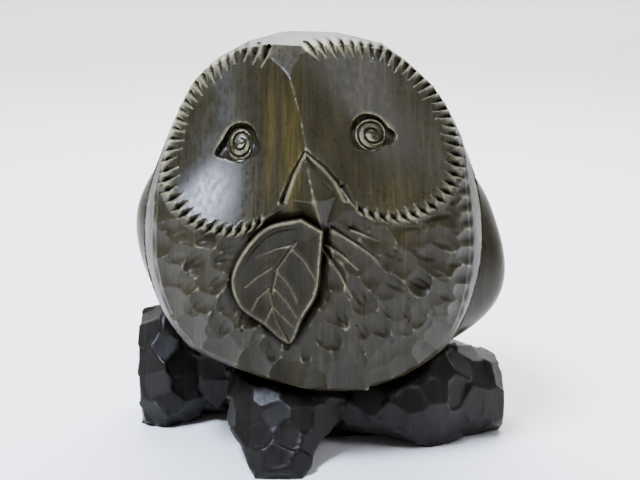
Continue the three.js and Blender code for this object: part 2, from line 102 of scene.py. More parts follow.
def around(values: Sequence[float], angle: Grid) -> Grid:
    """Value at an angle from values spaced evenly round a circle.

    Args:
        values: The values, the first one at the right, the others anticlockwise.
        angle: Angles in radians.

    Returns:
        The values joined by smooth curves.
    """
    ring = np.asarray(values, float)
    place = (angle / (2 * math.pi) * len(ring)) % len(ring)
    i = np.floor(place).astype(int)
    t = place - i
    a, b, c, d = (ring[(i + k) % len(ring)] for k in (-1, 0, 1, 2))
    return b + 0.5 * t * (c - a + t * (2 * a - 5 * b + 4 * c - d + t * (3 * (b - c) + d - a)))


def wobble(seed: Grid | float) -> Grid:
    """The same numbers every run, from 0 to 1, one for each seed."""
    s = np.sin(np.asarray(seed, float) * 127.1 + 311.7) * 43758.5453
    return s - np.floor(s)


def unit(vectors: Grid) -> Grid:
    """Vectors of the same direction, 1 long."""
    return vectors / np.maximum(np.linalg.norm(vectors, axis=-1, keepdims=True), 1e-12)


def share_out(middle: Pair, reach: Sequence[float], x: Grid, y: Grid) -> Grid:
    """Share of the way from a middle to the edge around it: 0 in the middle, 1 on the edge."""
    dx, dy = x - middle[0], y - middle[1]
    return np.hypot(dx, dy) / around(reach, np.arctan2(dy, dx))


def read(items: bpy.types.bpy_prop_collection, name: str, width: int, kind: type) -> Grid:
    """One property of all points, edges or faces of a mesh, one a row."""
    values = np.zeros(len(items) * width, kind)
    items.foreach_get(name, values)
    return values.reshape(-1, width)


def evened(values: Grid, a: Grid, b: Grid, times: int) -> Grid:
    """Values evened out between neighbours.

    Args:
        values: One row for each point of a mesh.
        a: The point at the start of each edge.
        b: The point at its end.
        times: How often they are evened out.

    Returns:
        The new values.
    """
    count = len(values)
    weight = np.bincount(a, minlength=count) + np.bincount(b, minlength=count)
    for _ in range(times):
        near = np.stack(
            [
                np.bincount(a, column[b], count) + np.bincount(b, column[a], count)
                for column in values.T
            ],
            axis=1,
        )
        values = 0.5 * values + 0.5 * near / weight[:, None]
    return values


def scattered(count: int, wander: float) -> Grid:
    """Directions spread evenly over the whole sphere, nudged so that they don't look ruled.

    Args:
        count: How many.
        wander: How far each is nudged, as a share of their spacing.

    Returns:
        One direction a row.
    """
    i = np.arange(count, dtype=float)
    z = 1 - (2 * i + 1) / count
    turn = i * math.pi * (3 - math.sqrt(5))
    flat = np.sqrt(1 - z * z)
    nudge = np.stack([wobble(i + k) - 0.5 for k in (0.3, 0.6, 0.9)], axis=1)
    even = np.stack([flat * np.cos(turn), flat * np.sin(turn), z], axis=1)
    return unit(even + nudge * (wander * 4) / math.sqrt(count))


def smooth_line(points: Sequence[Pair], count: int, fine: int = 40) -> Grid:
    """Even points along a smooth line.

    Args:
        points: Places that the line goes through.
        count: How many points to give back, ends included.
        fine: Steps between two of the places while the line is measured.

    Returns:
        One point a row.
    """
    p = np.asarray(points, float)
    p = np.vstack([2 * p[0] - p[1], p, 2 * p[-1] - p[-2]])
    t = np.linspace(0, 1, fine, endpoint=False)[:, None]
    pieces = []
    for p0, p1, p2, p3 in zip(p, p[1:], p[2:], p[3:]):
        d0, d1, d2 = (np.linalg.norm(b - a) ** 0.5 for a, b in ((p0, p1), (p1, p2), (p2, p3)))
        m1 = ((p1 - p0) / d0 - (p2 - p0) / (d0 + d1) + (p2 - p1) / d1) * d1
        m2 = ((p2 - p1) / d1 - (p3 - p1) / (d1 + d2) + (p3 - p2) / d2) * d1
        bend = -3 * p1 + 3 * p2 - 2 * m1 - m2
        pieces.append(p1 + t * (m1 + t * (bend + t * (2 * p1 - 2 * p2 + m1 + m2))))
    line = np.vstack([*pieces, p[-2][None]])
    gone = np.concatenate([[0], np.cumsum(np.linalg.norm(np.diff(line, axis=0), axis=1))])
    even = np.linspace(0, gone[-1], count)
    return np.stack([np.interp(even, gone, line[:, k]) for k in (0, 1)], axis=1)


@dataclass(frozen=True)
class Cut:
    """A straight V cut of the knife.

    Attributes:
        start: One end on the face, in mm.
        end: The other end.
        width: Width at both ends.
        depth: Depth at both ends.
        lean: How far the deepest line lies towards the lower side, from -1 to 1.
    """

    start: Pair
    end: Pair
    width: Pair
    depth: Pair
    lean: float = 0.0

    def lower_wall(self) -> Cut:
        """The lower wall as a cut of its own: the band where a highlight is painted."""
        dx, dy = self.end[0] - self.start[0], self.end[1] - self.start[1]
        side = math.copysign(1, dx) / math.hypot(dx, dy)
        middle, wide = (1 + self.lean) / 4, (1 - self.lean) / 2
        ends = [
            (x + dy * side * middle * w, y - dx * side * middle * w)
            for (x, y), w in zip((self.start, self.end), self.width)
        ]
        # Depth of the band that takes the painted highlight
        spare, lit_walls = 0.4, (1.3, 0.9)
        first, last = (wide * w + spare for w in self.width)
        return Cut(ends[0], ends[1], (first, last), lit_walls)


@dataclass(frozen=True)
class Scoop:
    """A short hollow that a gouge leaves.

    Attributes:
        middle: Its middle on the face, in mm.
        turn: Direction of the stroke, in radians.
        half: Half length and half width.
        depth: Depth in the middle.
        lean: How far the deepest place lies towards the end of the stroke.
    """

    middle: Pair
    turn: float
    half: Pair
    depth: float
    lean: float = 0.0


def chain(points: Sequence[Pair], width: Pair, depth: Pair, lean: float = 0.0) -> list[Cut]:
    """One long cut through several places, which changes evenly from the first to the last.

    Args:
        points: The places.
        width: Width at the first and the last place.
        depth: Depth there.
        lean: How far the deepest line lies towards the lower side.

    Returns:
        The cuts that it is made of.
    """
    share = np.linspace(0, 1, len(points))
    w = lerp(width[0], width[1], share)
    d = lerp(depth[0], depth[1], share)
    return [
        Cut(a, b, (w[i], w[i + 1]), (d[i], d[i + 1]), lean)
        for i, (a, b) in enumerate(zip(points, points[1:]))
    ]


def cut_depth(cuts: Sequence[Cut], x: Grid, y: Grid) -> Grid:
    """How deep the deepest of some V cuts is at each place of the face."""
    deepest = np.zeros_like(x)
    for cut in cuts:
        reach = max(cut.width)
        (ax, ay), (bx, by) = cut.start, cut.end
        near = np.flatnonzero(
            (x > min(ax, bx) - reach) & (x < max(ax, bx) + reach)
            & (y > min(ay, by) - reach) & (y < max(ay, by) + reach)
        )
        if not len(near):
            continue
        dx, dy = bx - ax, by - ay
        length = math.hypot(dx, dy)
        px, py = x[near] - ax, y[near] - ay
        t = np.clip((px * dx + py * dy) / length**2, 0, 1)
        off = np.hypot(px - t * dx, py - t * dy)
        lower = np.sign((px * dy - py * dx) * (1 if dx > 0 else -1))
        half = lerp(cut.width[0], cut.width[1], t) / 2
        shift = cut.lean * half
        side = off * lower - shift
        room = np.where(side > 0, half - shift, half + shift)
        depth = lerp(cut.depth[0], cut.depth[1], t) * (1 - np.abs(side) / room)
        deepest[near] = np.maximum(deepest[near], depth)
    return deepest


def scoop_depth(scoops: Sequence[Scoop], x: Grid, y: Grid) -> Grid:
    """How deep the deepest of some gouge scoops is at each place of the face."""
    deepest = np.zeros_like(x)
    for scoop in scoops:
        reach = max(scoop.half)
        dx, dy = x - scoop.middle[0], y - scoop.middle[1]
        near = np.flatnonzero((np.abs(dx) < reach) & (np.abs(dy) < reach))
        if not len(near):
            continue
        c, s = math.cos(scoop.turn), math.sin(scoop.turn)
        along = (dx[near] * c + dy[near] * s) / scoop.half[0]
        across = (dy[near] * c - dx[near] * s) / scoop.half[1]
        bowl = scoop.depth * (1 - along**2 - across**2) * (1 + scoop.lean * along)
        deepest[near] = np.maximum(deepest[near], bowl)
    return deepest


@dataclass(frozen=True)
class Disc:
    """One of the two dished discs of the face.

    Attributes:
        middle: Its middle on the face, in mm.
        reach: Distance from there to its edge every 45 degrees, from the right.
        notched: First and last angle of the row of notches, in degrees.
    """

    middle: Pair
    reach: tuple[float, ...]
    notched: Pair

    def gauge(self, x: Grid, y: Grid) -> Grid:
        """Share of the way from the middle to the edge."""
        return share_out(self.middle, self.reach, x, y)


@dataclass(frozen=True)
class Eye:
    """A round eye cut as a spiral, in a socket under a sharp lid.

    Attributes:
        middle: Middle of the socket on the face, in mm.
        socket: Distance from there to the socket's edge every 22.5 degrees, from the right.
        ball: Half width and half height of the eyeball.
        boss: Middle of the spiral.
        outer: Angle of the eye's outer corner, in degrees.
        hand: 1 where the spiral opens anticlockwise, -1 where it opens clockwise.
        rise: Height of the eyeball.
        depth: Depth of the socket under the upper lid; below the eye it fades out.
        groove: Depth of the spiral.
        pitch: Spacing of the spiral's turns, as a share of the eyeball.
        room: Distance from the middle within which the face is cut for the eye, in mm.
    """

    middle: Pair
    socket: tuple[float, ...]
    ball: Pair
    boss: Pair
    outer: float
    hand: int
    rise: float = 3.4
    depth: float = 3.8
    groove: float = 1.4
    pitch: float = 0.44
    room: float = 20

    def gauge(self, x: Grid, y: Grid) -> Grid:
        """Share of the way from the middle to the socket's edge."""
        return share_out(self.middle, self.socket, x, y)

    def ball_gauge(self, x: Grid, y: Grid) -> Grid:
        """Share of the way from the middle to the eyeball's edge."""
        return np.hypot((x - self.middle[0]) / self.ball[0], (y - self.middle[1]) / self.ball[1])

    def beside_ball(self, x: Grid, y: Grid) -> Grid:
        """1 in the socket beside the eyeball and 0 elsewhere, with soft borders."""
        within = 1 - smoothstep(self.gauge(x, y), 0.8, 1.0)
        return within * smoothstep(self.ball_gauge(x, y), 0.75, 1.1)

    def height(self, x: Grid, y: Grid) -> Grid:
        """Height of the eye above the dish that it is cut into."""
        angle = np.arctan2(y - self.middle[1], x - self.middle[0])
        upper = smoothstep(np.sin(angle - math.radians(self.outer - 90) * 0.25), -0.75, 0.35)
        socket = self.depth * lerp(0.28, 1.0, upper)
        socket *= 1 - smoothstep(self.gauge(x, y), 0.86, 0.99)
        bx, by = x - self.boss[0], y - self.boss[1]
        ball = self.ball_gauge(x, y)
        dome = self.rise * np.sqrt(np.clip(1 - ball**2, 0, 1))
        rho = np.hypot(bx / self.ball[0], by / self.ball[1] * 1.15)
        turns = (rho - 0.30) / self.pitch - self.hand * (np.arctan2(by, bx) - 0.6) / (2 * math.pi)
        gap = turns - np.floor(turns)
        spiral = 1 - smoothstep(np.minimum(gap, 1 - gap), 0.0, 0.26)
        spiral *= smoothstep(rho, 0.22, 0.36) * (1 - smoothstep(ball, 0.80, 0.96))
        return dome - socket - self.groove * spiral


@dataclass(frozen=True)
class Leaf:
    """The cupped leaf in the beak, with its veins cut in.

    Attributes:
        outline: From its stem down the left side, round the tip and back up, in mm.
        midrib: From the stem to the tip.
        veins: Side veins, from the midrib outwards.
        rise: Height of the edge above the breast.
        wall: Width of the edge's slope.
        cup: How far the middle is sunk.
        cup_rim: Distance from the edge at which it is sunk fully.
        bead: Height of the rolled rim, fullest beside the stem.
        halo_width: Width of the undercut around the leaf.
        halo_depth: Its depth.
    """

    outline: tuple[Pair, ...]
    midrib: tuple[Pair, ...]
    veins: tuple[tuple[Pair, ...], ...]
    rise: float = 4.2
    wall: float = 1.0
    cup: float = 3.2
    cup_rim: float = 11.0
    bead: float = 1.0
    halo_width: float = 4.0
    halo_depth: float = 2.2

    def inside(self, x: Grid, y: Grid) -> Grid:
        """Distance to the leaf's edge in mm, positive inside it and -inf far away."""
        edge = smooth_line(self.outline, 150)
        low, high = edge.min(0) - 2 * self.halo_width, edge.max(0) + 2 * self.halo_width
        found = np.full(x.shape, -np.inf)
        near = np.flatnonzero((x > low[0]) & (x < high[0]) & (y > low[1]) & (y < high[1]))
        if not len(near):
            return found
        px, py = x[near], y[near]
        nearest = np.full(len(near), np.inf)
        odd = np.zeros(len(near), bool)
        for (ax, ay), (bx, by) in zip(edge, np.roll(edge, -1, axis=0)):
            lx, ly = bx - ax, by - ay
            t = np.clip(((px - ax) * lx + (py - ay) * ly) / (lx * lx + ly * ly), 0, 1)
            nearest = np.minimum(nearest, np.hypot(px - ax - t * lx, py - ay - t * ly))
            if ay != by:
                odd ^= ((ay > py) != (by > py)) & (px < ax + (py - ay) * lx / ly)
        found[near] = np.where(odd, nearest, -nearest)
        return found

    def lines(self) -> list[Cut]:
        """The cuts of the midrib and the side veins."""
        veins = chain(self.midrib, width=(2.4, 1.4), depth=(1.25, 0.9), lean=0.2)
        for vein in self.veins:
            veins += chain(vein, width=(2.0, 0.9), depth=(1.0, 0.3), lean=0.2)
        return veins

    def top(self, inside: Grid, x: Grid, y: Grid) -> Grid:
        """Height of the leaf's own surface above the dome."""
        cup = self.cup * smoothstep(inside, 0, self.cup_rim)
        shell = self.rise * np.clip(inside / self.wall, 0, 1) ** 0.6 - cup
        stem_side = smoothstep(y, -36, -24) * smoothstep(-x, 2, 12)
        bead = (1 - smoothstep(np.abs(inside - 1.4), 0.5, 1.7)) * lerp(0.25, 1.0, stem_side)
        trough = 1 - smoothstep(np.abs(inside - 3.6), 0.0, 1.3)
        shell += self.bead * (bead - 0.6 * trough * stem_side)
        veins = self.lines()
        ribs = [Cut(c.start, c.end, width=(9.0, 7.0), depth=(0.75, 0.5)) for c in veins]
        billow = cut_depth(ribs, x, y) * smoothstep(inside, 0.5, 4)
        return shell - cut_depth(veins, x, y) + 0.8 * billow

    def halo(self, inside: Grid, x: Grid) -> Grid:
        """Depth of the undercut around the leaf, deeper on its right."""
        fade = np.clip(1 + inside / self.halo_width, 0, 1)
        return self.halo_depth * lerp(1.0, 1.5, smoothstep(x, -10, 4)) * fade


@dataclass(frozen=True)
class Beak:
    """Four flat facets around a raised point, with a groove outside both upper edges.

    Attributes:
        peak: The raised point on the face, in mm.
        corners: Corners of the facets.
        rise: Height of the raised point above the corners.
        foot: Height of the corners above the dome.
        left_groove: The groove on the left, from the top.
        right_groove: The one on the right.
    """

    peak: Pair = (2, 2.5)
    corners: tuple[Pair, ...] = ((-2.3, 24), (-9.8, 4.6), (5.9, -12), (13.2, 6.5))
    rise: float = 10.0
    foot: float = -1.0
    left_groove: tuple[Pair, ...] = ((-2.6, 26), (-7.8, 16), (-12.2, 3.6))
    right_groove: tuple[Pair, ...] = ((-1.8, 26), (6.1, 19.4), (12.3, 12.2), (16, 5))

    def height(self, x: Grid, y: Grid) -> Grid:
        """Height of the facets above the dome, and -inf beside the beak."""
        px, py = x - self.peak[0], y - self.peak[1]
        spokes = [(cx - self.peak[0], cy - self.peak[1]) for cx, cy in self.corners]
        found = np.full(x.shape, -np.inf)
        for a, b in zip(spokes, spokes[1:] + spokes[:1]):
            area = a[0] * b[1] - a[1] * b[0]
            s = (px * b[1] - py * b[0]) / area
            t = (a[0] * py - a[1] * px) / area
            on = (s >= -1e-9) & (t >= -1e-9) & (s + t < 1)
            found[on] = (self.foot + self.rise * (1 - s - t))[on]
        return found

    def grooves(self) -> list[Cut]:
        """The cuts outside both upper edges."""
        left = chain(self.left_groove, width=(1.8, 4.4), depth=(1.6, 3.4))
        return left + chain(self.right_groove, width=(1.8, 4.2), depth=(1.6, 3.0))


@dataclass
class OwlForm:
    """The carved skin of the owl, as the end of the ray in each direction from its heart.

    The owl's own axes are x to the viewer's right, y up its face and z out of its face,
    in mm from the heart.

    Attributes:
        look_up: How far the face is turned upwards, in radians.
        heart: The inner point in the world, in mm.
        outline: Half width of the side band at the heart, every 22.5 degrees from the right.
        bevel: How far the band leans in towards the face, over bevel_depth, every 45 degrees.
        dome_radius: Radius of the domed front, whose middle is at dome_middle along z.
        back_depth: Distance from the heart to the back.
        back_fullness: How boxy the back is, 2 for an ellipse.
        seat_height: Height in the world at which the underside is cut flat.
        wing_line: Half width over the wings, as in outline.
        wing_back: Distance behind the heart at which the wings are widest.
        tuck_depth: Depth of the tuck between band and wings, which is tuck_width wide.
        dish_depth: Depth of the discs' dishes.
        notch_pitch: Spacing of the notches along a disc's edge.
        notch_above: Reach inwards, reach outwards and width of a notch above the eyes.
        notch_below: The same below the eyes.
        notch_depth: Depth of a notch at the edge.
        notch_fan: Place near the beak from which the lower notches fan out.
        notch_share: How far they do so.
        flats: Knife flats on the whole body.
        flat_wander: How unevenly they lie.
        flats_near: How many of them are tried at each place.
        flat_moves: Least and most that a flat moves the wood.
        gouge_from: Place from which the breast's gouge cuts run out.
        gouge_rows: Distance of the first row, spacing of the rows, and their number.
        breast_gouge: Spacing in a row, half length and half width, and depth of the cuts.
        rim_gouge: The same from rim_from outwards, where they lie along the rim.
        feathers_within: Number of the small scoops, first distance and spread.
        crown_fade: Heights on the face between which the gouge cuts fade out.
        rim_search: Rounds and step in mm of the two searches for the rim.
        rim_scallops: First and last angle in degrees, spacing, half sizes and depth of a row.
        discs: The two dished discs.
        eyes: The eye in each of them.
        beak: The beak between them.
        leaf: The leaf that it holds.
        whiskers: Long cuts beside the beak.
    """

    look_up: float = math.radians(14)
    heart: tuple[float, float, float] = (-4.5, -11.6, 119.4)
    outline: tuple[float, ...] = (
        84, 82.4, 85, 89, 88.6, 89.1, 83.8, 79.2, 81.5, 85.5, 89, 85.4, 87.6, 92, 93.8, 88.5,
    )
    bevel: tuple[float, ...] = (6, 1.5, 8, 2, 5.5, 4.5, 3, 5)
    bevel_depth: float = 16
    dome_radius: float = 125
    dome_middle: float = -77
    back_depth: float = 66
    back_fullness: float = 2.3
    seat_height: float = 35
    wing_line: tuple[float, ...] = (
        93, 81.5, 84, 86.5, 87.5, 86.5, 84, 81, 89, 89.2, 87, 86, 86, 88, 95.5, 105,
    )
    wing_back: float = 27
    tuck_depth: float = 6
    tuck_width: float = 4
    dish_depth: float = 15
    notch_pitch: float = 4.7
    notch_above: tuple[float, float, float] = (6.6, 4.2, 4.4)
    notch_below: tuple[float, float, float] = (5.4, 4.6, 3.9)
    notch_depth: float = 3.2
    notch_fan: Pair = (2, 14.5)
    notch_share: float = 0.55
    flats: int = 330
    flat_wander: float = 0.35
    flats_near: int = 8
    flat_moves: Pair = (-0.5, 2)
    gouge_from: Pair = (3, 2)
    gouge_rows: tuple[float, float, int] = (22, 9.5, 9)
    breast_gouge: tuple[float, Pair, float] = (12.5, (9.5, 7.5), 3.0)
    rim_gouge: tuple[float, Pair, float] = (22, (7.5, 14), 3.0)
    rim_from: float = 78
    feathers_within: tuple[int, float, float] = (150, 30, 58)
    crown_fade: Pair = (48, 62)
    rim_search: tuple[int, float] = (8, 0.2)
    rim_scallops: tuple[tuple[Pair, float, Pair, float], ...] = (
        ((166, 322), 14.5, (12, 8.6), 3.6),
        ((322, 392), 7.6, (7, 4.9), 4.2),
    )
    discs: tuple[Disc, Disc] = (
        Disc((-34, 31.5), (32.5, 37.5, 45.8, 35.5, 34.3, 41, 41, 33.5), (74, 290)),
        Disc((30, 37.5), (39, 36.8, 45.2, 49, 36, 31.5, 40, 44.5), (-100, 133)),
    )
    eyes: tuple[Eye, Eye] = (
        Eye(
            (-33.6, 31),
            (10, 9.6, 10.3, 11.1, 11, 10.3, 9.2, 8.8, 10.2, 12.8, 9.6, 8.9, 8.6, 8.6, 9.2, 11),
            (6.2, 8.6), (-32.9, 32), 201, -1,
        ),
        Eye(
            (28.4, 36),
            (
                12.4, 9.6, 9.2, 9.6, 10.2, 10.8, 10.6, 10.3,
                10.1, 11.1, 10.9, 9.3, 8.6, 8.4, 8.6, 11.6,
            ),
            (7.6, 8.4), (29.2, 36), -12, 1,
        ),
    )
    beak: Beak = Beak()
    leaf: Leaf = Leaf(
        (
            (-4, -4), (-20, -8), (-32, -20.5), (-36.7, -33), (-33, -45), (-22.5, -53),
            (-9.5, -62.5), (-3, -50), (3.2, -39), (5.2, -24), (6.4, -10),
        ),
        ((-7, -15), (-15.6, -27.3), (-18, -38.4), (-15, -52), (-9.8, -61)),
        (
            ((-7.3, -15.8), (-15.1, -17.6), (-25.2, -21.8)),
            ((-17.9, -26.3), (-24.9, -31), (-30.1, -35.7)),
            ((-19.4, -36), (-24.5, -40.7), (-27.5, -46.9)),
            ((-18.1, -44.9), (-21, -52.1)),
            ((-7.8, -17.6), (-1.9, -24), (2.7, -32.3)),
            ((-15.1, -27.7), (-10.1, -33.2), (-7.4, -38.3), (-5.6, -42.5)),
            ((-16.1, -35.6), (-10.7, -42), (-6.1, -49.6)),
            ((-16.3, -44.9), (-12.1, -49.6), (-7.6, -54.3)),
        ),
    )
    whiskers: tuple[tuple[Pair, ...], ...] = (
        ((10.9, -8.1), (22.5, -15.6), (31.6, -22.7), (33, -26.4)),
        ((8.1, -14.9), (15.5, -20.6), (22.4, -27.7)),
        ((7.2, -17.6), (14, -28.5), (19.7, -40.7)),
        ((19.5, -8.1), (31.5, -14)),
        ((15.4, 10.1), (19.5, 3.3), (22.3, 0.1)),
    )

    def __post_init__(self) -> None:
        """Works out the knife flats and the cuts once."""
        ways = scattered(self.flats, self.flat_wander)
        ways = ways[self.side(ways) < self.dome(ways)]
        self.flat_ways = ways
        self.flat_normals, self.flat_offsets = self._tangents(ways)
        self.notches = [cut for disc in self.discs for cut in self._notches(disc)]
        self.gouges = self._gouges()
        self.feathers = self._feathers()
        self.scallops = self._scallops()
        self.strokes = [
            cut
            for line in self.whiskers
            for cut in chain(line, width=(4.2, 1.2), depth=(2.3, 0.5), lean=0.5)
        ]

    def side(self, ways: Grid) -> Grid:
        """Reach of the side band, the wings and the back, without the domed front."""
        across = np.hypot(ways[:, 0], ways[:, 1])
        angle = np.arctan2(ways[:, 1], ways[:, 0])
        band = around(self.outline, angle)
        forward = band / (across + around(self.bevel, angle) / self.bevel_depth * ways[:, 2])
        wing = around(self.wing_line, angle)
        tuck = self.tuck_width * smoothstep(wing - band, -2, 4)
        slope = across / np.maximum(-ways[:, 2], 1e-9)

        def profile(depth: Grid) -> Grid:
            """Half width of the body at a depth behind the heart."""
            first = band - tuck * depth / self.tuck_depth
            t = (depth - self.tuck_depth) / (self.wing_back - self.tuck_depth)
            second = lerp(band - tuck, wing, np.sin(np.clip(t, 0, 1) * math.pi / 2))
            t = np.clip((depth - self.wing_back) / (self.back_depth - self.wing_back), 0, 1)
            third = wing * (1 - t**self.back_fullness) ** (1 / self.back_fullness)
            return np.where(
                depth < self.tuck_depth, first, np.where(depth < self.wing_back, second, third)
            )

        before = np.zeros(len(ways))
        after = np.full(len(ways), float(self.back_depth))
        for _ in range(30):
            middle = (before + after) / 2
            short = middle * slope < profile(middle)
            before, after = np.where(short, middle, before), np.where(short, after, middle)
        return np.where(ways[:, 2] >= 0, forward, np.hypot(profile(before), before))

    def dome(self, ways: Grid) -> Grid:
        """Reach of the domed front."""
        along = ways[:, 2] * self.dome_middle
        return along + np.sqrt(along**2 + self.dome_radius**2 - self.dome_middle**2)

    def _tangents(self, ways: Grid) -> tuple[Grid, Grid]:
        """Planes that just touch the side of the owl in some directions."""
        tiny = 0.03
        side = unit(np.cross([0.0, 0.0, 1.0], ways))
        up = np.cross(ways, side)

        def point(a: float, b: float) -> Grid:
            """Point of the side, a little to one side of each direction."""
            d = unit(ways + side * a + up * b)
            return d * self.side(d)[:, None]

        normal = unit(
            np.cross(point(tiny, 0) - point(-tiny, 0), point(0, tiny) - point(0, -tiny))
        )
        return normal, (normal * point(0, 0)).sum(1)

    def on_flats(self, ways: Grid, smooth: Grid) -> Grid:
        """The smooth reach, moved onto the knife flats around each direction."""
        closeness = ways @ self.flat_ways.T
        near = np.argpartition(-closeness, self.flats_near, axis=1)[:, : self.flats_near]
        lean = np.maximum(0.2, (self.flat_normals[near] * ways[:, None]).sum(2))
        reach = (self.flat_offsets[near] / lean).min(1)
        return smooth + np.clip(reach - smooth, *self.flat_moves)

    def block(self, ways: Grid) -> tuple[Grid, Grid]:
        """The owl before its face and breast are cut.

        Args:
            ways: Directions from the heart.

        Returns:
            Its reach, and how much of each place is front.
        """
        dome, side = self.dome(ways), self.side(ways)
        angle = np.arctan2(ways[:, 1], ways[:, 0])
        swell = around(self.wing_line, angle) - around(self.outline, angle)
        rough = np.where(ways[:, 2] > 0, 1.0, 1 - smoothstep(swell, -2, 4))
        shown = np.flatnonzero(side - 3 < dome + 9)
        side[shown] = lerp(side[shown], self.on_flats(ways[shown], side[shown]), rough[shown])
        reach = np.minimum(dome, side)
        rise = math.cos(self.look_up) * ways[:, 1] + math.sin(self.look_up) * ways[:, 2]
        seat = (self.seat_height - self.heart[2]) / np.minimum(rise, -1e-9)
        reach = np.where(rise < 0, np.minimum(reach, seat), reach)
        return reach, 1 - smoothstep(dome - side, 0, 6)

    def rim_reach(self, angle: float) -> float:
        """Distance from the heart, seen from the front, at which the dome meets the band."""
        outer = float(around(self.outline, np.array(angle)))
        lean = float(around(self.bevel, np.array(angle))) / self.bevel_depth
        reach = outer
        for _ in range(self.rim_search[0]):
            reach = outer - lean * (self.dome_middle + math.sqrt(self.dome_radius**2 - reach**2))
        return reach

    def disc_edge(self, disc: Disc, angle: float) -> tuple[float, float, float]:
        """A disc's edge at an angle, on the rim of the face where that cuts the disc short.

        Args:
            disc: The disc.
            angle: Angle from its middle, in radians.

        Returns:
            Distance from its middle, and the place on the face.
        """
        far = float(around(disc.reach, np.array(angle)))
        while True:
            x = disc.middle[0] + far * math.cos(angle)
            y = disc.middle[1] + far * math.sin(angle)
            if math.hypot(x, y) <= self.rim_reach(math.atan2(y, x)):
                return far, x, y
            far -= self.rim_search[1]

    def _notches(self, disc: Disc) -> list[Cut]:
        """Row of notches along a disc's edge, which fan out from the beak below the eyes."""
        cuts = []
        angle = math.radians(disc.notched[0])
        count = 0
        while angle < math.radians(disc.notched[1]):
            far, ex, ey = self.disc_edge(disc, angle)
            low = float(smoothstep(np.array(-math.sin(angle)), -0.2, 0.9))
            fan = math.atan2(ey - self.notch_fan[1], ex - self.notch_fan[0])
            wx = lerp(math.cos(angle), math.cos(fan), self.notch_share * low)
            wy = lerp(math.sin(angle), math.sin(fan), self.notch_share * low)
            inner, overrun, width = (
                lerp(above, below, low) for above, below in zip(self.notch_above, self.notch_below)
            )
            inner *= 0.82 + 0.36 * float(wobble(count + 0.4))
            # The knife slanted up to the left, so there the lower wall is the wide one
            lit = smoothstep(np.array(-math.cos(angle)), -0.1, 0.3)
            lit = float(lit * smoothstep(np.array(math.sin(angle)), -0.2, 0.3))
            lean = lerp(0.55, -0.5, lit)
            deep = self.notch_depth
            tip = (ex - wx * inner, ey - wy * inner)
            tail = (ex + wx * overrun, ey + wy * overrun)
            # Below the eyes a notch tapers both ways; above them it runs out over the rim
            last_width, last_depth = lerp(width, 0.4, low), lerp(deep, 0.3, low)
            cuts += [
                Cut((ex, ey), tip, (width, 0.3), (deep, 0.15), lean),
                Cut((ex, ey), tail, (width, last_width), (deep, last_depth), lean),
            ]
            angle += self.notch_pitch * (0.92 + 0.16 * wobble(count + 0.1)) / far
            count += 1
        return cuts

    def _from_beak(self, out: float, turn: float) -> Pair:
        """The place at a distance and an angle from where the gouge cuts run out."""
        x, y = self.gouge_from
        return x + out * math.cos(turn), y + out * math.sin(turn)

    def _gouges(self) -> list[Scoop]:
        """Rows of overlapping gouge cuts, row after row out from the beak."""
        scoops = []
        first, step, rows = self.gouge_rows
        for row in range(rows):
            far = first + step * row
            spacing, half, depth = self.breast_gouge if far < self.rim_from else self.rim_gouge
            around_row = round(2 * math.pi * far / spacing)
            for k in range(around_row):
                seed = row * 57 + k
                place = k + 0.5 * (row % 2) + 0.5 * (wobble(seed) - 0.5)
                turn = 2 * math.pi * place / around_row
                out = far + 4.5 * (wobble(seed + 0.5) - 0.5)
                size = 0.85 + 0.4 * float(wobble(seed + 0.8))
                scoops.append(
                    Scoop(
                        self._from_beak(out, turn),
                        turn + 0.7 * (float(wobble(seed + 0.3)) - 0.5),
                        (half[0] * size, half[1] * size),
                        depth * (0.5 + 0.9 * float(wobble(seed + 0.2))),
                        0.45,
                    )
                )
        return scoops

    def _scallops(self) -> list[Scoop]:
        """Rows of broad scoops along the rim, which give the side band its wavy edge."""
        scoops = []
        for (start, stop), pitch, half, depth in self.rim_scallops:
            angle = math.radians(start)
            while angle < math.radians(stop):
                count = len(scoops)
                far = self.rim_reach(angle)
                size = 0.78 + 0.5 * float(wobble(count + 0.15))
                out = far - 2.5 * float(wobble(count + 0.65))
                scoops.append(
                    Scoop(
                        (out * math.cos(angle), out * math.sin(angle)),
                        angle + 0.5 * (float(wobble(count + 0.35)) - 0.5),
                        (half[0] * size, half[1] * size),
                        depth * size,
                    )
                )
                angle += pitch * size / far
        return scoops

    def _feathers(self) -> list[Scoop]:
        """Small, crisp scoops between the large ones, each deepest at its outer end."""
        scoops = []
        count, first, spread = self.feathers_within
        for k in range(count):
            out = first + spread * math.sqrt((k + 0.5) / count)
            turn = k * math.pi * (3 - math.sqrt(5))
            size = 0.75 + 0.5 * wobble(k + 0.7)
            lie = turn + 0.5 * (wobble(k) - 0.5)
            half = (7 * size, 2.6 * size)
            scoops.append(Scoop(self._from_beak(out, turn), lie, half, 1.3 * size, 0.6))
        return scoops

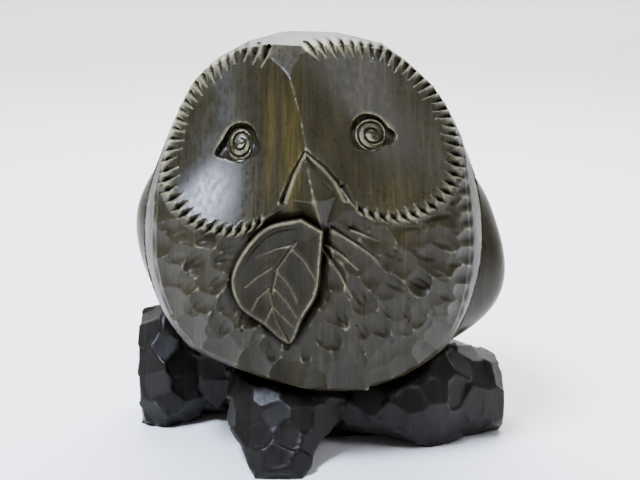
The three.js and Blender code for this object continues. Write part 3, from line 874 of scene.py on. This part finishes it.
    def relief(self, x: Grid, y: Grid) -> Grid:
        """Height of the carved front above the dome, negative where wood was taken away."""
        gauges = [disc.gauge(x, y) for disc in self.discs]
        nearest = np.minimum(*gauges)
        off_discs = smoothstep(nearest, 1.02, 1.12)
        off_crown = 1 - smoothstep(y, *self.crown_fade)
        scooped = scoop_depth(self.gouges, x, y) + scoop_depth(self.feathers, x, y)
        at_rim = np.hypot(x, y) / around(self.outline, np.arctan2(y, x))
        scooped *= 1 - 0.8 * smoothstep(at_rim, 0.80, 0.92)
        scooped = np.maximum(scooped, scoop_depth(self.scallops, x, y))
        height = -scooped * off_discs * off_crown
        for gauge in gauges:
            height = np.minimum(height, -self.dish_depth * (1 - gauge**2))
        height -= cut_depth(self.notches, x, y)
        for eye in self.eyes:
            near = np.flatnonzero(np.hypot(x - eye.middle[0], y - eye.middle[1]) < eye.room)
            if len(near):
                height[near] += eye.height(x[near], y[near])
        grooves = self.beak.grooves()
        height -= np.maximum(cut_depth(grooves, x, y), cut_depth(self.strokes, x, y))
        inside = self.leaf.inside(x, y)
        height -= np.where(inside < 0, self.leaf.halo(inside, x), 0)
        on = np.flatnonzero(inside > 0)
        if len(on):
            top = self.leaf.top(inside[on], x[on], y[on])
            height[on] = np.maximum(height[on], top)
        return np.maximum(height, self.beak.height(x, y))

    def shade_and_leaf_tone(self, points: Grid) -> Grid:
        """Painted shade at each point, 0 to 1, most in the cuts, and a darker leaf tone."""
        x, y = points[:, 0], points[:, 1]
        inside = self.leaf.inside(x, y)
        pits = cut_depth(self.notches, x, y) / self.notch_depth
        lines = cut_depth(self.strokes + self.beak.grooves(), x, y) / 2.4
        under_leaf = np.where(inside < 0, self.leaf.halo(inside, x), 0) / 2.6
        sockets = [0.5 * eye.beside_ball(x, y) for eye in self.eyes]
        deepest = np.maximum.reduce([1.25 * pits, lines, under_leaf, *sockets])
        deep = smoothstep(np.where(points[:, 2] > 0, deepest, 0), 0.15, 0.85)
        return np.maximum(deep, 0.35 * smoothstep(inside, 1.5, 4))

    def lit_walls(self, points: Grid) -> Grid:
        """Painted highlight at each point, from 0 to 1, on the cuts' lit lower walls."""
        x, y = points[:, 0], points[:, 1]
        cuts = self.notches + self.strokes + self.beak.grooves()
        walls = cut_depth([cut.lower_wall() for cut in cuts], x, y)
        veins = cut_depth([cut.lower_wall() for cut in self.leaf.lines()], x, y)
        return np.where(points[:, 2] > 0, np.clip(np.maximum(walls, 0.45 * veins), 0, 1), 0)

    def gouged(self, points: Grid) -> Grid:
        """Share of each point that was left as the gouge cut it, without rubbing it smooth."""
        x, y = points[:, 0], points[:, 1]
        nearest = np.minimum(*[disc.gauge(x, y) for disc in self.discs])
        off_discs = smoothstep(nearest, 1.0, 1.1) * (1 - smoothstep(y, *self.crown_fade))
        off_beak = ~np.isfinite(self.beak.height(x, y))
        return off_discs * off_beak * smoothstep(points[:, 2], 0, 12)

    def skin(self, ways: Grid) -> Grid:
        """Point of the carved skin in each direction, in the owl's own axes."""
        reach, front = self.block(ways)
        points = ways * reach[:, None]
        on = np.flatnonzero(front > 0)
        points[on, 2] += front[on] * self.relief(points[on, 0], points[on, 1])
        return points

    def to_world(self) -> Matrix:
        """Where the owl's own axes are in the world, in mm."""
        return Matrix.Translation(self.heart) @ Matrix.Rotation(
            math.pi / 2 - self.look_up, 4, "X"
        )


@dataclass
class SkinMesher:
    """Closed mesh of a skin: starts as a ball and splits the edges that miss it by most.

    Attributes:
        skin: Gives a point for each direction.
        limit: Most triangles.
        shortest: Shortest edge worth splitting, in mm.
        longest: Longest edge left on the front, in mm.
        miss: Distance from the skin that is left alone, in mm.
        focus: How closely the first ball's points crowd to the front, 1 for evenly.
        front: How far before the heart the front begins, in mm.
        fewest: Fewest edges that are worth another round.
        least: Edges that may always be split in a round.
        growth: Triangles that a split edge is taken to add.
        spare: Triangles left free below the limit.
    """

    skin: Callable[[Grid], Grid]
    limit: int
    shortest: float = 0.40
    longest: float = 1.7
    miss: float = 0.016
    focus: float = 0.62
    front: float = 8
    fewest: int = 150
    least: int = 20
    growth: float = 2.4
    spare: int = 60
    ways: Grid = field(init=False)
    points: Grid = field(init=False)
    faces: Grid = field(init=False)

    def _ball(self, levels: int) -> None:
        """Makes the first ball, with its points crowded to the front."""
        mesh = bpy.data.meshes.new("ball")
        ball = bmesh.new()
        bmesh.ops.create_icosphere(ball, subdivisions=levels, radius=1)
        ball.to_mesh(mesh)
        ball.free()
        ways = unit(read(mesh.vertices, "co", 3, float))
        faces = read(mesh.polygons, "vertices", 3, int)
        bpy.data.meshes.remove(mesh)
        flat = self.focus * ways[:, :2] / np.maximum(1 + ways[:, 2:], 1e-9)
        square = (flat**2).sum(1, keepdims=True)
        self.ways = unit(np.hstack([2 * flat, 1 - square]) / (1 + square))
        # Crowding divides by zero at the point straight behind, so that one is set by hand
        self.ways[ways[:, 2] < -1 + 1e-6] = (0.0, 0.0, -1.0)
        a, b, c = (self.ways[faces[:, k]] for k in range(3))
        inward = (np.cross(b - a, c - a) * a).sum(1) < 0
        self.faces = np.where(inward[:, None], faces[:, ::-1], faces)

    def _score(self, pairs: Grid) -> tuple[Grid, Grid]:
        """How much each edge needs a split, and where: at the place that misses the skin most.

        Args:
            pairs: The two points of each edge.

        Returns:
            A number for each edge, above 1 where it needs a split, and the point to add and
            its direction from the heart, side by side.
        """
        a, b = self.points[pairs[:, 0]], self.points[pairs[:, 1]]
        chord = b - a
        length = np.linalg.norm(chord, axis=1)
        best = np.full(len(pairs), -1.0)
        added = np.zeros((len(pairs), 6))
        for share in (0.5, 0.35, 0.65):
            way = unit(lerp(self.ways[pairs[:, 0]], self.ways[pairs[:, 1]], share))
            point = self.skin(way)
            off = np.linalg.norm(np.cross(point - a, chord), axis=1) / np.maximum(length, 1e-9)
            room = np.minimum(
                np.linalg.norm(point - a, axis=1), np.linalg.norm(point - b, axis=1)
            )
            off = np.where(room < self.shortest * 0.8, 0, off)
            better = off > best
            best[better] = off[better]
            added[better] = np.hstack([point, way])[better]
        long = np.where(added[:, 2] > self.front, length / self.longest, 0)
        score = np.maximum(best / self.miss, long)
        score[(length < 2 * self.shortest) | (best <= 0)] = 0
        return score, added

    def _split(self, middles: Grid) -> None:
        """Splits each triangle in two, three or four, by which of its edges are split."""
        faces = self.faces
        count = (middles >= 0).sum(1)
        kept = [faces[count == 0]]

        def turned(which: Grid, shift: Grid) -> tuple[Grid, Grid]:
            """Those triangles and their edges, turned so that edge `shift` comes first."""
            turn = (np.arange(3) + shift[:, None]) % 3
            return (
                np.take_along_axis(faces[which], turn, 1),
                np.take_along_axis(middles[which], turn, 1),
            )

        one = count == 1
        f, m = turned(one, np.argmax(middles[one] >= 0, axis=1))
        kept += [np.stack([f[:, 0], m[:, 0], f[:, 2]], 1), np.stack([m[:, 0], f[:, 1], f[:, 2]], 1)]
        two = count == 2
        f, m = turned(two, np.argmax(middles[two] < 0, axis=1))
        a, b, c, n, p = f[:, 0], f[:, 1], f[:, 2], m[:, 1], m[:, 2]
        kept.append(np.stack([c, p, n], 1))
        first = np.linalg.norm(self.points[a] - self.points[n], axis=1)
        second = np.linalg.norm(self.points[b] - self.points[p], axis=1)
        short = (first < second)[:, None]
        kept.append(np.where(short, np.stack([a, b, n], 1), np.stack([a, b, p], 1)))
        kept.append(np.where(short, np.stack([a, n, p], 1), np.stack([b, n, p], 1)))
        three = count == 3
        (a, b, c), (k, n, p) = faces[three].T, middles[three].T
        kept += [np.stack(t, 1) for t in ((a, k, p), (k, b, n), (p, n, c), (k, n, p))]
        self.faces = np.vstack(kept)

    def build(self, levels: int = 6) -> tuple[Grid, Grid]:
        """Makes the mesh.

        Args:
            levels: How often the first ball's twenty triangles are divided.

        Returns:
            Its points in the owl's own axes, in mm, and its triangles.
        """
        self._ball(levels)
        self.points = self.skin(self.ways)
        # One number stands for both points of an edge
        big = 1 << 22
        known = np.zeros(0, np.int64)
        scores, middles = np.zeros(0), np.zeros((0, 6))
        while len(self.faces) < self.limit - self.spare:
            pairs = np.stack([self.faces, np.roll(self.faces, -1, axis=1)], 2)
            pairs = np.sort(pairs.reshape(-1, 2), axis=1)
            keys, back = np.unique(pairs[:, 0] * big + pairs[:, 1], return_inverse=True)
            fresh = keys[~np.isin(keys, known)]
            score, point = self._score(np.stack([fresh // big, fresh % big], 1))
            known = np.concatenate([known, fresh])
            order = np.argsort(known)
            known = known[order]
            scores = np.concatenate([scores, score])[order]
            middles = np.concatenate([middles, point])[order]
            mine = np.searchsorted(known, keys)
            wanted = np.flatnonzero(scores[mine] > 1)
            if len(wanted) < self.fewest:
                break
            room = max(self.least, math.ceil((self.limit - len(self.faces)) / self.growth))
            if len(wanted) > room:
                wanted = wanted[np.argsort(-scores[mine[wanted]])[:room]]
            number = np.full(len(keys), -1)
            number[wanted] = len(self.points) + np.arange(len(wanted))
            added = middles[mine[wanted]]
            self.points = np.vstack([self.points, added[:, :3]])
            self.ways = np.vstack([self.ways, added[:, 3:]])
            self._split(number[back].reshape(-1, 3))
        return self.points, self.faces


def new_object(name: str, data: bpy.types.ID) -> bpy.types.Object:
    """A new object in the scene."""
    made = bpy.data.objects.new(name, data)
    bpy.context.scene.collection.objects.link(made)
    return made


def mesh_from(name: str, points: Grid, faces: Grid) -> bpy.types.Object:
    """An object with a smooth mesh.

    Args:
        name: Its name.
        points: Points in metres, one a row.
        faces: Triangles, one a row.

    Returns:
        The object, in the scene.
    """
    mesh = bpy.data.meshes.new(name)
    mesh.vertices.add(len(points))
    mesh.vertices.foreach_set("co", np.ascontiguousarray(points, np.float32).ravel())
    mesh.loops.add(len(faces) * 3)
    mesh.loops.foreach_set("vertex_index", np.ascontiguousarray(faces, np.int32).ravel())
    mesh.polygons.add(len(faces))
    mesh.polygons.foreach_set("loop_start", np.arange(0, len(faces) * 3, 3, dtype=np.int32))
    mesh.polygons.foreach_set("use_smooth", np.ones(len(faces), bool))
    mesh.update(calc_edges=True)
    mesh.validate()
    return new_object(name, mesh)


def linear(colour: str) -> tuple[float, float, float, float]:
    """Linear colour of an sRGB hex value such as "#3a3226"."""
    parts = [int(colour[i : i + 2], 16) / 255 for i in (1, 3, 5)]
    r, g, b = (p / 12.92 if p <= 0.04045 else ((p + 0.055) / 1.055) ** 2.4 for p in parts)
    return (r, g, b, 1.0)


def add(
    tree: bpy.types.NodeTree,
    kind: str,
    settings: dict[str, object] | None = None,
    links: dict[str | int, object] | None = None,
) -> bpy.types.Node:
    """Adds a node.

    Args:
        tree: The tree that it goes in.
        kind: Its type, such as "ShaderNodeTexNoise".
        settings: Properties by name, and values of inputs by the input's name or number.
        links: For each input, the socket that feeds it.

    Returns:
        The node.
    """
    node = tree.nodes.new(kind)
    for name, value in (settings or {}).items():
        if isinstance(name, str) and hasattr(node, name) and name not in node.inputs:
            setattr(node, name, value)
        else:
            node.inputs[name].default_value = value
    for name, socket in (links or {}).items():
        tree.links.new(socket, node.inputs[name])
    return node


class Sheen(Enum):
    """How rough an oiled wood is: the lower, the more it shines."""

    SATIN = 0.31
    MATT = 0.42


@dataclass(frozen=True)
class OiledWood:
    """Close-grained hardwood, stained dark, carved with a knife and rubbed with oil.

    The stain hides most of the figure and leaves fine upright streaks, the oil gives a soft
    shine, and rubbing has worn the sharp edges back to a lighter tan.

    Attributes:
        name: The material's name.
        dark: Colour of the dark streaks.
        body: Main colour.
        light: Colour of the light streaks.
        edge: Colour of worn edges, and of the highlight painted on lit cut walls.
        hollow: Colour in shallow hollows, darker than the body.
        pit: Colour of the painted shade in the deep cuts; the leaf takes a little of it.
        golden: Colour of the paler bands, paler wood and on the owl also painted light.
        bands: Place, half width and strength of each paler band across the block, in mm.
        sheen: How much it shines.
        streak: Width of the streaks in mm; real fibres are 0.05 mm, drawn coarser to show.
        worn: How far the edges are worn, from 0 to 1.
        mirror: How much of the room it mirrors outside the deep cuts; varnish is at 0.5.
    """

    name: str
    dark: str
    body: str
    light: str
    edge: str
    hollow: str
    pit: str
    golden: str
    bands: tuple[tuple[tuple[float, float, float], tuple[float, float, float], float], ...]
    sheen: Sheen
    streak: float = 0.8
    worn: float = 0.6
    mirror: float = 0.22

    def material(self) -> bpy.types.Material:
        """Makes the material."""
        made = bpy.data.materials.new(self.name)
        made.use_nodes = True
        tree = made.node_tree
        tree.nodes.clear()
        place = add(tree, "ShaderNodeTexCoord").outputs["Object"]
        fine = 1 / (self.streak * MM)
        found: dict[str, object] = {}
        # Fibres run up the block; slow waves bend them a little
        patterns = {
            "fibres": ((fine, fine * 0.04, fine * 0.02), 2.0, 0.5),
            "figure": ((fine * 0.16, fine * 0.05, fine * 0.010), 3.0, 0.55),
            "cloud": ((26.0, 26.0, 17.0), 3.0, 0.6),
            "patches": ((fine * 0.35, fine * 0.35, fine * 0.08), 3.0, 0.6),
            "chatter": ((700.0, 700.0, 420.0), 3.0, 0.6),
        }
        for name, (scale, detail, rough) in patterns.items():
            moved = add(tree, "ShaderNodeMapping", {"Scale": scale}, {"Vector": place})
            found[name] = add(
                tree, "ShaderNodeTexNoise",
                {"Scale": 1.0, "Detail": detail, "Roughness": rough},
                {"Vector": moved.outputs["Vector"]},
            ).outputs["Fac"]
        # The knife's marks, and painted shade and highlights, come with the mesh
        for name in ("hollow", "ridge", "shade_and_leaf_tone", "lit_walls", "gouged"):
            node = add(tree, "ShaderNodeAttribute", {"attribute_name": name})
            found[name] = node.outputs["Fac"]
        waves = add(
            tree, "ShaderNodeMath", {"operation": "MULTIPLY", 1: 0.45}, {0: found["figure"]}
        ).outputs[0]
        found["streaks"] = add(
            tree, "ShaderNodeMath", {"operation": "MULTIPLY_ADD", 1: 0.55},
            {0: found["fibres"], 2: waves},
        ).outputs[0]
        # What lies in the cuts is dull, so they mirror less of the room
        sheen = self.sheen.value
        spans = {
            "streaky": ("streaks", (0.36, 0.62), (0.25, 1.0)),
            "patchy": ("cloud", (0.35, 0.62), (0.35, 1.0)),
            "mirror": ("shade_and_leaf_tone", (0.0, 1.0), (self.mirror, 0.05)),
            "gloss": ("patches", (0.3, 0.7), (sheen - 0.07, sheen + 0.09)),
        }
        for name, (source, (low, high), (first, last)) in spans.items():
            found[name] = add(
                tree, "ShaderNodeMapRange",
                {"From Min": low, "From Max": high, "To Min": first, "To Max": last},
                {"Value": found[source]},
            ).outputs["Result"]
        streaks = add(tree, "ShaderNodeValToRGB", {}, {"Fac": found["streaks"]})
        stops = streaks.color_ramp.elements
        stops.new(0.5)
        tones = ((0.30, self.dark), (0.50, self.body), (0.70, self.light))
        for stop, (at, tone) in zip(stops, tones):
            stop.position = at
            stop.color = linear(tone)
        layers: list[tuple[object, ...]] = []
        for middle, half, strength in self.bands:
            moved = add(
                tree, "ShaderNodeMapping",
                {
                    "vector_type": "TEXTURE",
                    "Location": tuple(v * MM for v in middle),
                    "Scale": tuple(v * MM for v in half),
                },
                {"Vector": place},
            ).outputs["Vector"]
            ball = add(
                tree, "ShaderNodeTexGradient", {"gradient_type": "SPHERICAL"}, {"Vector": moved}
            ).outputs["Fac"]
            band = add(
                tree, "ShaderNodeMapRange",
                {"From Min": 0.0, "From Max": 0.8, "To Min": 0.0, "To Max": strength,
                 "interpolation_type": "SMOOTHSTEP"},
                {"Value": ball},
            ).outputs["Result"]
            layers.append((self.golden, band, found["streaky"]))
        # Darker hollows, worn ridges; painted shade in cuts, painted highlight on lit walls
        layers += [
            (self.hollow, found["hollow"], 0.75),
            # Painted shade in the deep cuts, and the leaf's darker tone
            (self.pit, found["shade_and_leaf_tone"], 0.92),
            (self.edge, found["ridge"], found["patchy"], self.worn),
            # Painted highlight on the cuts' lit lower walls
            (self.edge, found["lit_walls"], found["patchy"], 0.55),
        ]
        colour = streaks.outputs["Color"]
        for top, factor, *others in layers:
            for other in others:
                node = add(tree, "ShaderNodeMath", {"operation": "MULTIPLY"}, {0: factor})
                if isinstance(other, float):
                    node.inputs[1].default_value = other
                else:
                    tree.links.new(other, node.inputs[1])
                factor = node.outputs[0]
            colour = add(
                tree, "ShaderNodeMix", {"data_type": "RGBA", 7: linear(top)}, {0: factor, 6: colour}
            ).outputs[2]
        # The gouge's cuts were left as they were, so they scatter the light more
        gloss = add(
            tree, "ShaderNodeMath", {"operation": "MULTIPLY_ADD", 1: 0.13},
            {0: found["gouged"], 2: found["gloss"]},
        ).outputs[0]
        # Open fibres and the knife's faint chatter, about a hundredth of a millimetre deep
        grain = add(
            tree, "ShaderNodeBump", {"Strength": 0.20, "Distance": 0.00006},
            {"Height": found["fibres"]},
        ).outputs["Normal"]
        normal = add(
            tree, "ShaderNodeBump", {"Strength": 0.10, "Distance": 0.0001},
            {"Height": found["chatter"], "Normal": grain},
        ).outputs["Normal"]
        # Oil soaks in and leaves no film, so the wood mirrors less than varnish does
        shader = add(
            tree, "ShaderNodeBsdfPrincipled",
            {"IOR": 1.5, "Metallic": 0.0},
            {
                "Base Color": colour, "Roughness": gloss, "Normal": normal,
                "Specular IOR Level": found["mirror"],
            },
        )
        add(tree, "ShaderNodeOutputMaterial", {}, {"Surface": shader.outputs["BSDF"]})
        return made


OWL_WOOD = OiledWood(
    "stained_oiled_owl_wood",
    dark="#1a170e", body="#252113", light="#342e1c", edge="#aca684", hollow="#130b04",
    # Near black: painted shade in the deep cuts
    pit="#070403",
    golden="#4f4218",
    bands=(
        # These two lie left of the crest: paler wood, and painted light on that lit side
        ((-24.0, -60.0, 168.0), (6.0, 60.0, 46.0), 0.5),
        ((-13.0, -60.0, 165.0), (8.0, 60.0, 50.0), 0.6),
        ((42.0, -60.0, 128.0), (30.0, 60.0, 26.0), 0.15),
    ),
    sheen=Sheen.SATIN,
)
STAND_WOOD = OiledWood(
    "stained_oiled_stand_wood",
    dark="#0c0a08", body="#161310", light="#221e19", edge="#5c564d", hollow="#0a0807",
    pit="#050403",
    golden="#2a261e",
    bands=(((60.0, 0.0, 30.0), (50.0, 60.0, 30.0), 0.3),),
    sheen=Sheen.MATT,
    worn=0.25,
    mirror=0.16,
)


def store(piece: bpy.types.Object, name: str, values: Grid) -> None:
    """Stores a number for each point of an object's mesh."""
    layer = piece.data.attributes.new(name, "FLOAT", "POINT")
    layer.data.foreach_set("value", values.astype(np.float32))


def shade_marks(piece: bpy.types.Object, scale: float, spread: int) -> None:
    """Stores how sharp each ridge and hollow of a mesh is, as numbers from 0 to 1.

    Args:
        piece: The object, with its final mesh.
        scale: Bend of the surface, in 1/mm, that counts as 1.
        spread: How many times the numbers are evened out between neighbours.
    """
    mesh = piece.data
    count = len(mesh.vertices)
    co = read(mesh.vertices, "co", 3, np.float32) / MM
    normal = read(mesh.vertices, "normal", 3, np.float32)
    a, b = read(mesh.edges, "vertices", 2, np.int32).T
    step = co[b] - co[a]
    length = np.maximum(np.linalg.norm(step, axis=1), 1e-6)
    bend = ((normal[b] - normal[a]) * step).sum(1) / length**2
    weight = np.bincount(a, minlength=count) + np.bincount(b, minlength=count)
    value = (np.bincount(a, bend, count) + np.bincount(b, bend, count)) / weight
    value = np.clip(value, -3 * scale, 1.5 * scale)
    value = evened(value[:, None], a, b, spread)[:, 0]
    store(piece, "ridge", smoothstep(value / scale, 0.3, 1.0))
    store(piece, "hollow", smoothstep(-value / 2 / scale, 0.3, 1.0))


@dataclass
class CarvedOwl:
    """The owl, one block of wood with all its carving.

    Attributes:
        form: The shape of its skin.
        triangles: Most triangles in its mesh.
        finish: Its wood.
    """

    form: OwlForm = field(default_factory=OwlForm)
    triangles: int = 190_000
    finish: OiledWood = OWL_WOOD

    def build(self, low: Vector, high: Vector) -> bpy.types.Object:
        """Makes the mesh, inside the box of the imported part.

        Args:
            low: Lowest corner of that box, in metres.
            high: Highest corner.

        Returns:
            The object.
        """
        points, faces = SkinMesher(self.form.skin, self.triangles).build()
        world = np.array(self.form.to_world())
        placed = np.clip((points @ world[:3, :3].T + world[:3, 3]) * MM, low, high)
        piece = mesh_from("carved_owl", placed, faces)
        # Painted shade in the cuts, and a darker tone on the leaf
        store(piece, "shade_and_leaf_tone", self.form.shade_and_leaf_tone(points))
        # Painted highlight on the cuts' lit lower walls
        store(piece, "lit_walls", self.form.lit_walls(points))
        store(piece, "gouged", self.form.gouged(points))
        return piece

    def dress(self, piece: bpy.types.Object) -> None:
        """Gives the mesh its wood."""
        shade_marks(piece, 0.6, 3)
        piece.data.set_sharp_from_angle(angle=math.radians(34))
        piece.data.materials.append(self.finish.material())


@dataclass
class RootStand:
    """The stand, cut from a root with short flat strokes of a knife.

    Attributes:
        grit: Spacing of the mesh's points before the strokes, in mm.
        stroke: Spacing of the knife strokes, in mm.
        scoop: How hollow a stroke leaves its flat, in mm.
        edge: Width of the edge between two flats, in mm.
        most: Most that a stroke moves the wood, in mm.
        clear: Distance from the owl within which little is moved, in mm.
        evenings: How often the points and the normals are evened out before the strokes.
        tried: How many strokes are tried at each point.
        facing: How closely a stroke has to face as the point does, 1 for exactly.
        finish: Its wood.
    """

    grit: float = 1.15
    stroke: float = 10.5
    scoop: float = 0.12
    edge: float = 0.2
    most: float = 2.0
    clear: float = 1.5
    evenings: tuple[int, int] = (60, 12)
    tried: int = 5
    facing: float = 0.4
    finish: OiledWood = STAND_WOOD

    def build(
        self, node: bpy.types.Object, owl: bpy.types.Object, low: Vector, high: Vector
    ) -> bpy.types.Object:
        """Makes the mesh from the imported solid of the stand.

        Args:
            node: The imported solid.
            owl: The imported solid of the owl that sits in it.
            low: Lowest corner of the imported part's box, in metres.
            high: Highest corner.

        Returns:
            The object.
        """
        piece = new_object("carved_stand", node.data.copy())
        piece.data.materials.clear()
        remesh = piece.modifiers.new("grit", "REMESH")
        remesh.mode = "VOXEL"
        remesh.voxel_size = self.grit * MM
        self._apply(piece)
        mesh = piece.data
        for polygon in mesh.polygons:
            polygon.use_smooth = True
        points = read(mesh.vertices, "co", 3, float) / MM
        a, b = read(mesh.edges, "vertices", 2, int).T
        free = self._free(points, owl)
        smooth = points + (evened(points, a, b, self.evenings[0]) - points) * free[:, None]
        self._move(mesh, smooth * MM)
        normal = unit(evened(read(mesh.vertices, "normal", 3, float), a, b, self.evenings[1]))
        cut = self._strokes(smooth, normal)
        self._move(mesh, np.clip((smooth + normal * (cut * free)[:, None]) * MM, low, high))
        return piece

    def _move(self, mesh: bpy.types.Mesh, points: Grid) -> None:
        """Moves a mesh's points to new places, in metres."""
        mesh.vertices.foreach_set("co", points.astype(np.float32).ravel())
        mesh.update()

    def _apply(self, piece: bpy.types.Object) -> None:
        """Turns a piece's modifiers into its mesh."""
        graph = bpy.context.evaluated_depsgraph_get()
        done = bpy.data.meshes.new_from_object(piece.evaluated_get(graph))
        piece.modifiers.clear()
        piece.data = done

    def _free(self, points: Grid, owl: bpy.types.Object) -> Grid:
        """Share of each point that the knife may move: none at the owl and on the ground."""
        tree = BVHTree.FromPolygons(
            [v.co / MM for v in owl.data.vertices], [p.vertices[:] for p in owl.data.polygons]
        )
        away = np.array([tree.find_nearest(Vector(p))[3] for p in points])
        return smoothstep(away, self.clear * 0.5, self.clear + 2) * smoothstep(points[:, 2], 0.2, 3)

    def _strokes(self, points: Grid, normals: Grid) -> Grid:
        """How far each point moves along its normal to lie on the flat cut nearest to it."""
        order = np.argsort(wobble(np.arange(len(points)) * 0.37))
        taken: list[int] = []
        grid: dict[tuple[int, int, int], list[int]] = {}
        cells = np.floor(points / self.stroke).astype(int)
        for i in order:
            cx, cy, cz = cells[i]
            near = [
                j
                for dx in (-1, 0, 1) for dy in (-1, 0, 1) for dz in (-1, 0, 1)
                for j in grid.get((cx + dx, cy + dy, cz + dz), ())
            ]
            if near and ((points[near] - points[i]) ** 2).sum(1).min() < self.stroke**2:
                continue
            grid.setdefault((cx, cy, cz), []).append(i)
            taken.append(i)
        seeds, ways = points[taken], normals[taken]
        tree = KDTree(len(seeds))
        for k, seed in enumerate(seeds):
            tree.insert(seed, k)
        tree.balance()
        moved = np.zeros(len(points))
        for i, (point, normal) in enumerate(zip(points, normals)):
            found = tree.find_n(Vector(point), self.tried)
            total = shares = 0.0
            for _, k, away in found:
                facing = float(ways[k] @ normal)
                if facing > self.facing:
                    share = math.exp((found[0][2] - away) / self.edge)
                    hollow = self.scoop * max(0.0, 1 - (away / self.stroke * 1.6) ** 2)
                    total += share * (float(ways[k] @ (seeds[k] - point)) / facing - hollow)
                    shares += share
            moved[i] = total / shares if shares else 0.0
        return np.clip(moved, -self.most, self.most)

    def dress(self, piece: bpy.types.Object) -> None:
        """Gives the mesh its wood."""
        shade_marks(piece, 0.9, 1)
        piece.data.materials.append(self.finish.material())


@dataclass(frozen=True)
class Studio:
    """Camera, floor and soft light.

    Attributes:
        eye: Place of the camera, in metres.
        look_down: How far it looks down, in degrees.
        lens: Its focal length on a 36 mm wide sensor.
    """

    eye: tuple[float, float, float] = (0.0, -0.63408, 0.26017)
    look_down: float = 14.0
    lens: float = 73.125

    def camera(self) -> None:
        """Makes the camera that looks as the photograph does."""
        data = bpy.data.cameras.new("camera")
        data.lens = self.lens
        data.sensor_width = 36.0
        data.clip_start, data.clip_end = 0.01, 20.0
        made = new_object("camera", data)
        made.location = self.eye
        made.rotation_euler = (math.radians(90 - self.look_down), 0.0, 0.0)
        bpy.context.scene.camera = made

    def floor(self) -> None:
        """Makes the plain pale floor."""
        points = np.array([[-4, -4, 0], [4, -4, 0], [4, 4, 0], [-4, 4, 0]], float)
        made = mesh_from("floor", points, np.array([[0, 1, 2], [0, 2, 3]]))
        paper = bpy.data.materials.new("matt_white_paper")
        paper.use_nodes = True
        shader = paper.node_tree.nodes["Principled BSDF"]
        shader.inputs["Base Color"].default_value = linear("#f4f3f1")
        shader.inputs["Roughness"].default_value = 0.9
        made.data.materials.append(paper)
        made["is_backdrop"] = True

    def panel(
        self,
        name: str,
        place: tuple[float, float, float],
        size: Pair,
        power: float,
        colour: str,
        target: tuple[float, float, float] = (0, 0, 0.11),
    ) -> None:
        """Makes a soft light.

        Args:
            name: Its name.
            place: Its middle, in metres.
            size: Its width and height, in metres.
            power: Its power in watts.
            colour: Its colour as an sRGB hex value.
            target: The place that it faces, the owl's middle as a rule.
        """
        data = bpy.data.lights.new(name, "AREA")
        data.shape = "RECTANGLE"
        data.size, data.size_y = size
        data.energy = power
        data.color = linear(colour)[:3]
        made = new_object(name, data)
        made.location = place
        aim = Vector(target) - Vector(place)
        made.rotation_euler = aim.to_track_quat("-Z", "Y").to_euler()

    def light(self) -> None:
        """Makes the pale room and its soft lights."""
        world = bpy.data.worlds.new("pale_room")
        bpy.context.scene.world = world
        world.use_nodes = True
        tree = world.node_tree
        tree.nodes.clear()
        way = add(tree, "ShaderNodeTexCoord").outputs["Generated"]
        back = add(tree, "ShaderNodeSeparateXYZ", {}, {"Vector": way}).outputs["Y"]
        shade = add(
            tree, "ShaderNodeMapRange",
            {"From Min": 0.15, "From Max": 0.8, "To Min": 0.16, "To Max": 1.9,
             "interpolation_type": "SMOOTHSTEP"},
            {"Value": back},
        ).outputs["Result"]
        room = add(
            tree, "ShaderNodeBackground", {"Color": linear("#fbfcff")}, {"Strength": shade}
        ).outputs["Background"]
        seen = add(
            tree, "ShaderNodeBackground", {"Color": linear("#fdfdfd"), "Strength": 6.0}
        ).outputs["Background"]
        direct = add(tree, "ShaderNodeLightPath").outputs["Is Camera Ray"]
        mixed = add(tree, "ShaderNodeMixShader", {}, {0: direct, 1: room, 2: seen})
        add(tree, "ShaderNodeOutputWorld", {}, {"Surface": mixed.outputs[0]})
        self.panel("window", (-0.52, -0.55, 1.44), (0.36, 0.36), 72.0, "#d8e4ff")
        self.panel("bounce", (0.72, -0.90, 1.25), (0.60, 0.50), 8.0, "#f2f4ff")
        self.panel("overhead", (0.1, 0.80, 1.25), (1.5, 0.8), 46.0, "#ffffff")
        self.panel("far_floor", (0.0, 2.9, 1.7), (4.0, 2.2), 130.0, "#ffffff", (0.0, 2.9, 0.0))


def corners(box: tuple[Vector, Vector]) -> list[list[float]]:
    """A box's lowest and highest corner as plain lists."""
    return [[float(v) for v in corner] for corner in box]


def main() -> None:
    """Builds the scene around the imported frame."""
    logging.basicConfig(level=logging.INFO, format="%(message)s")
    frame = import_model()
    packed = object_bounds()
    studio = Studio()
    studio.camera()
    nodes = frame["nodes"]

    owl = CarvedOwl()
    owl_piece = owl.build(*packed)
    owl.dress(owl_piece)
    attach(owl_piece, "root")
    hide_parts("owl")
    LOG.info("owl: %d triangles", len(owl_piece.data.polygons))

    stand = RootStand()
    stand_piece = stand.build(nodes["root_stand"], nodes["owl"], *packed)
    stand.dress(stand_piece)
    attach(stand_piece, "root")
    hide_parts("root_stand")
    LOG.info("stand: %d faces", len(stand_piece.data.polygons))

    studio.floor()
    studio.light()


if __name__ == "__main__":
    main()
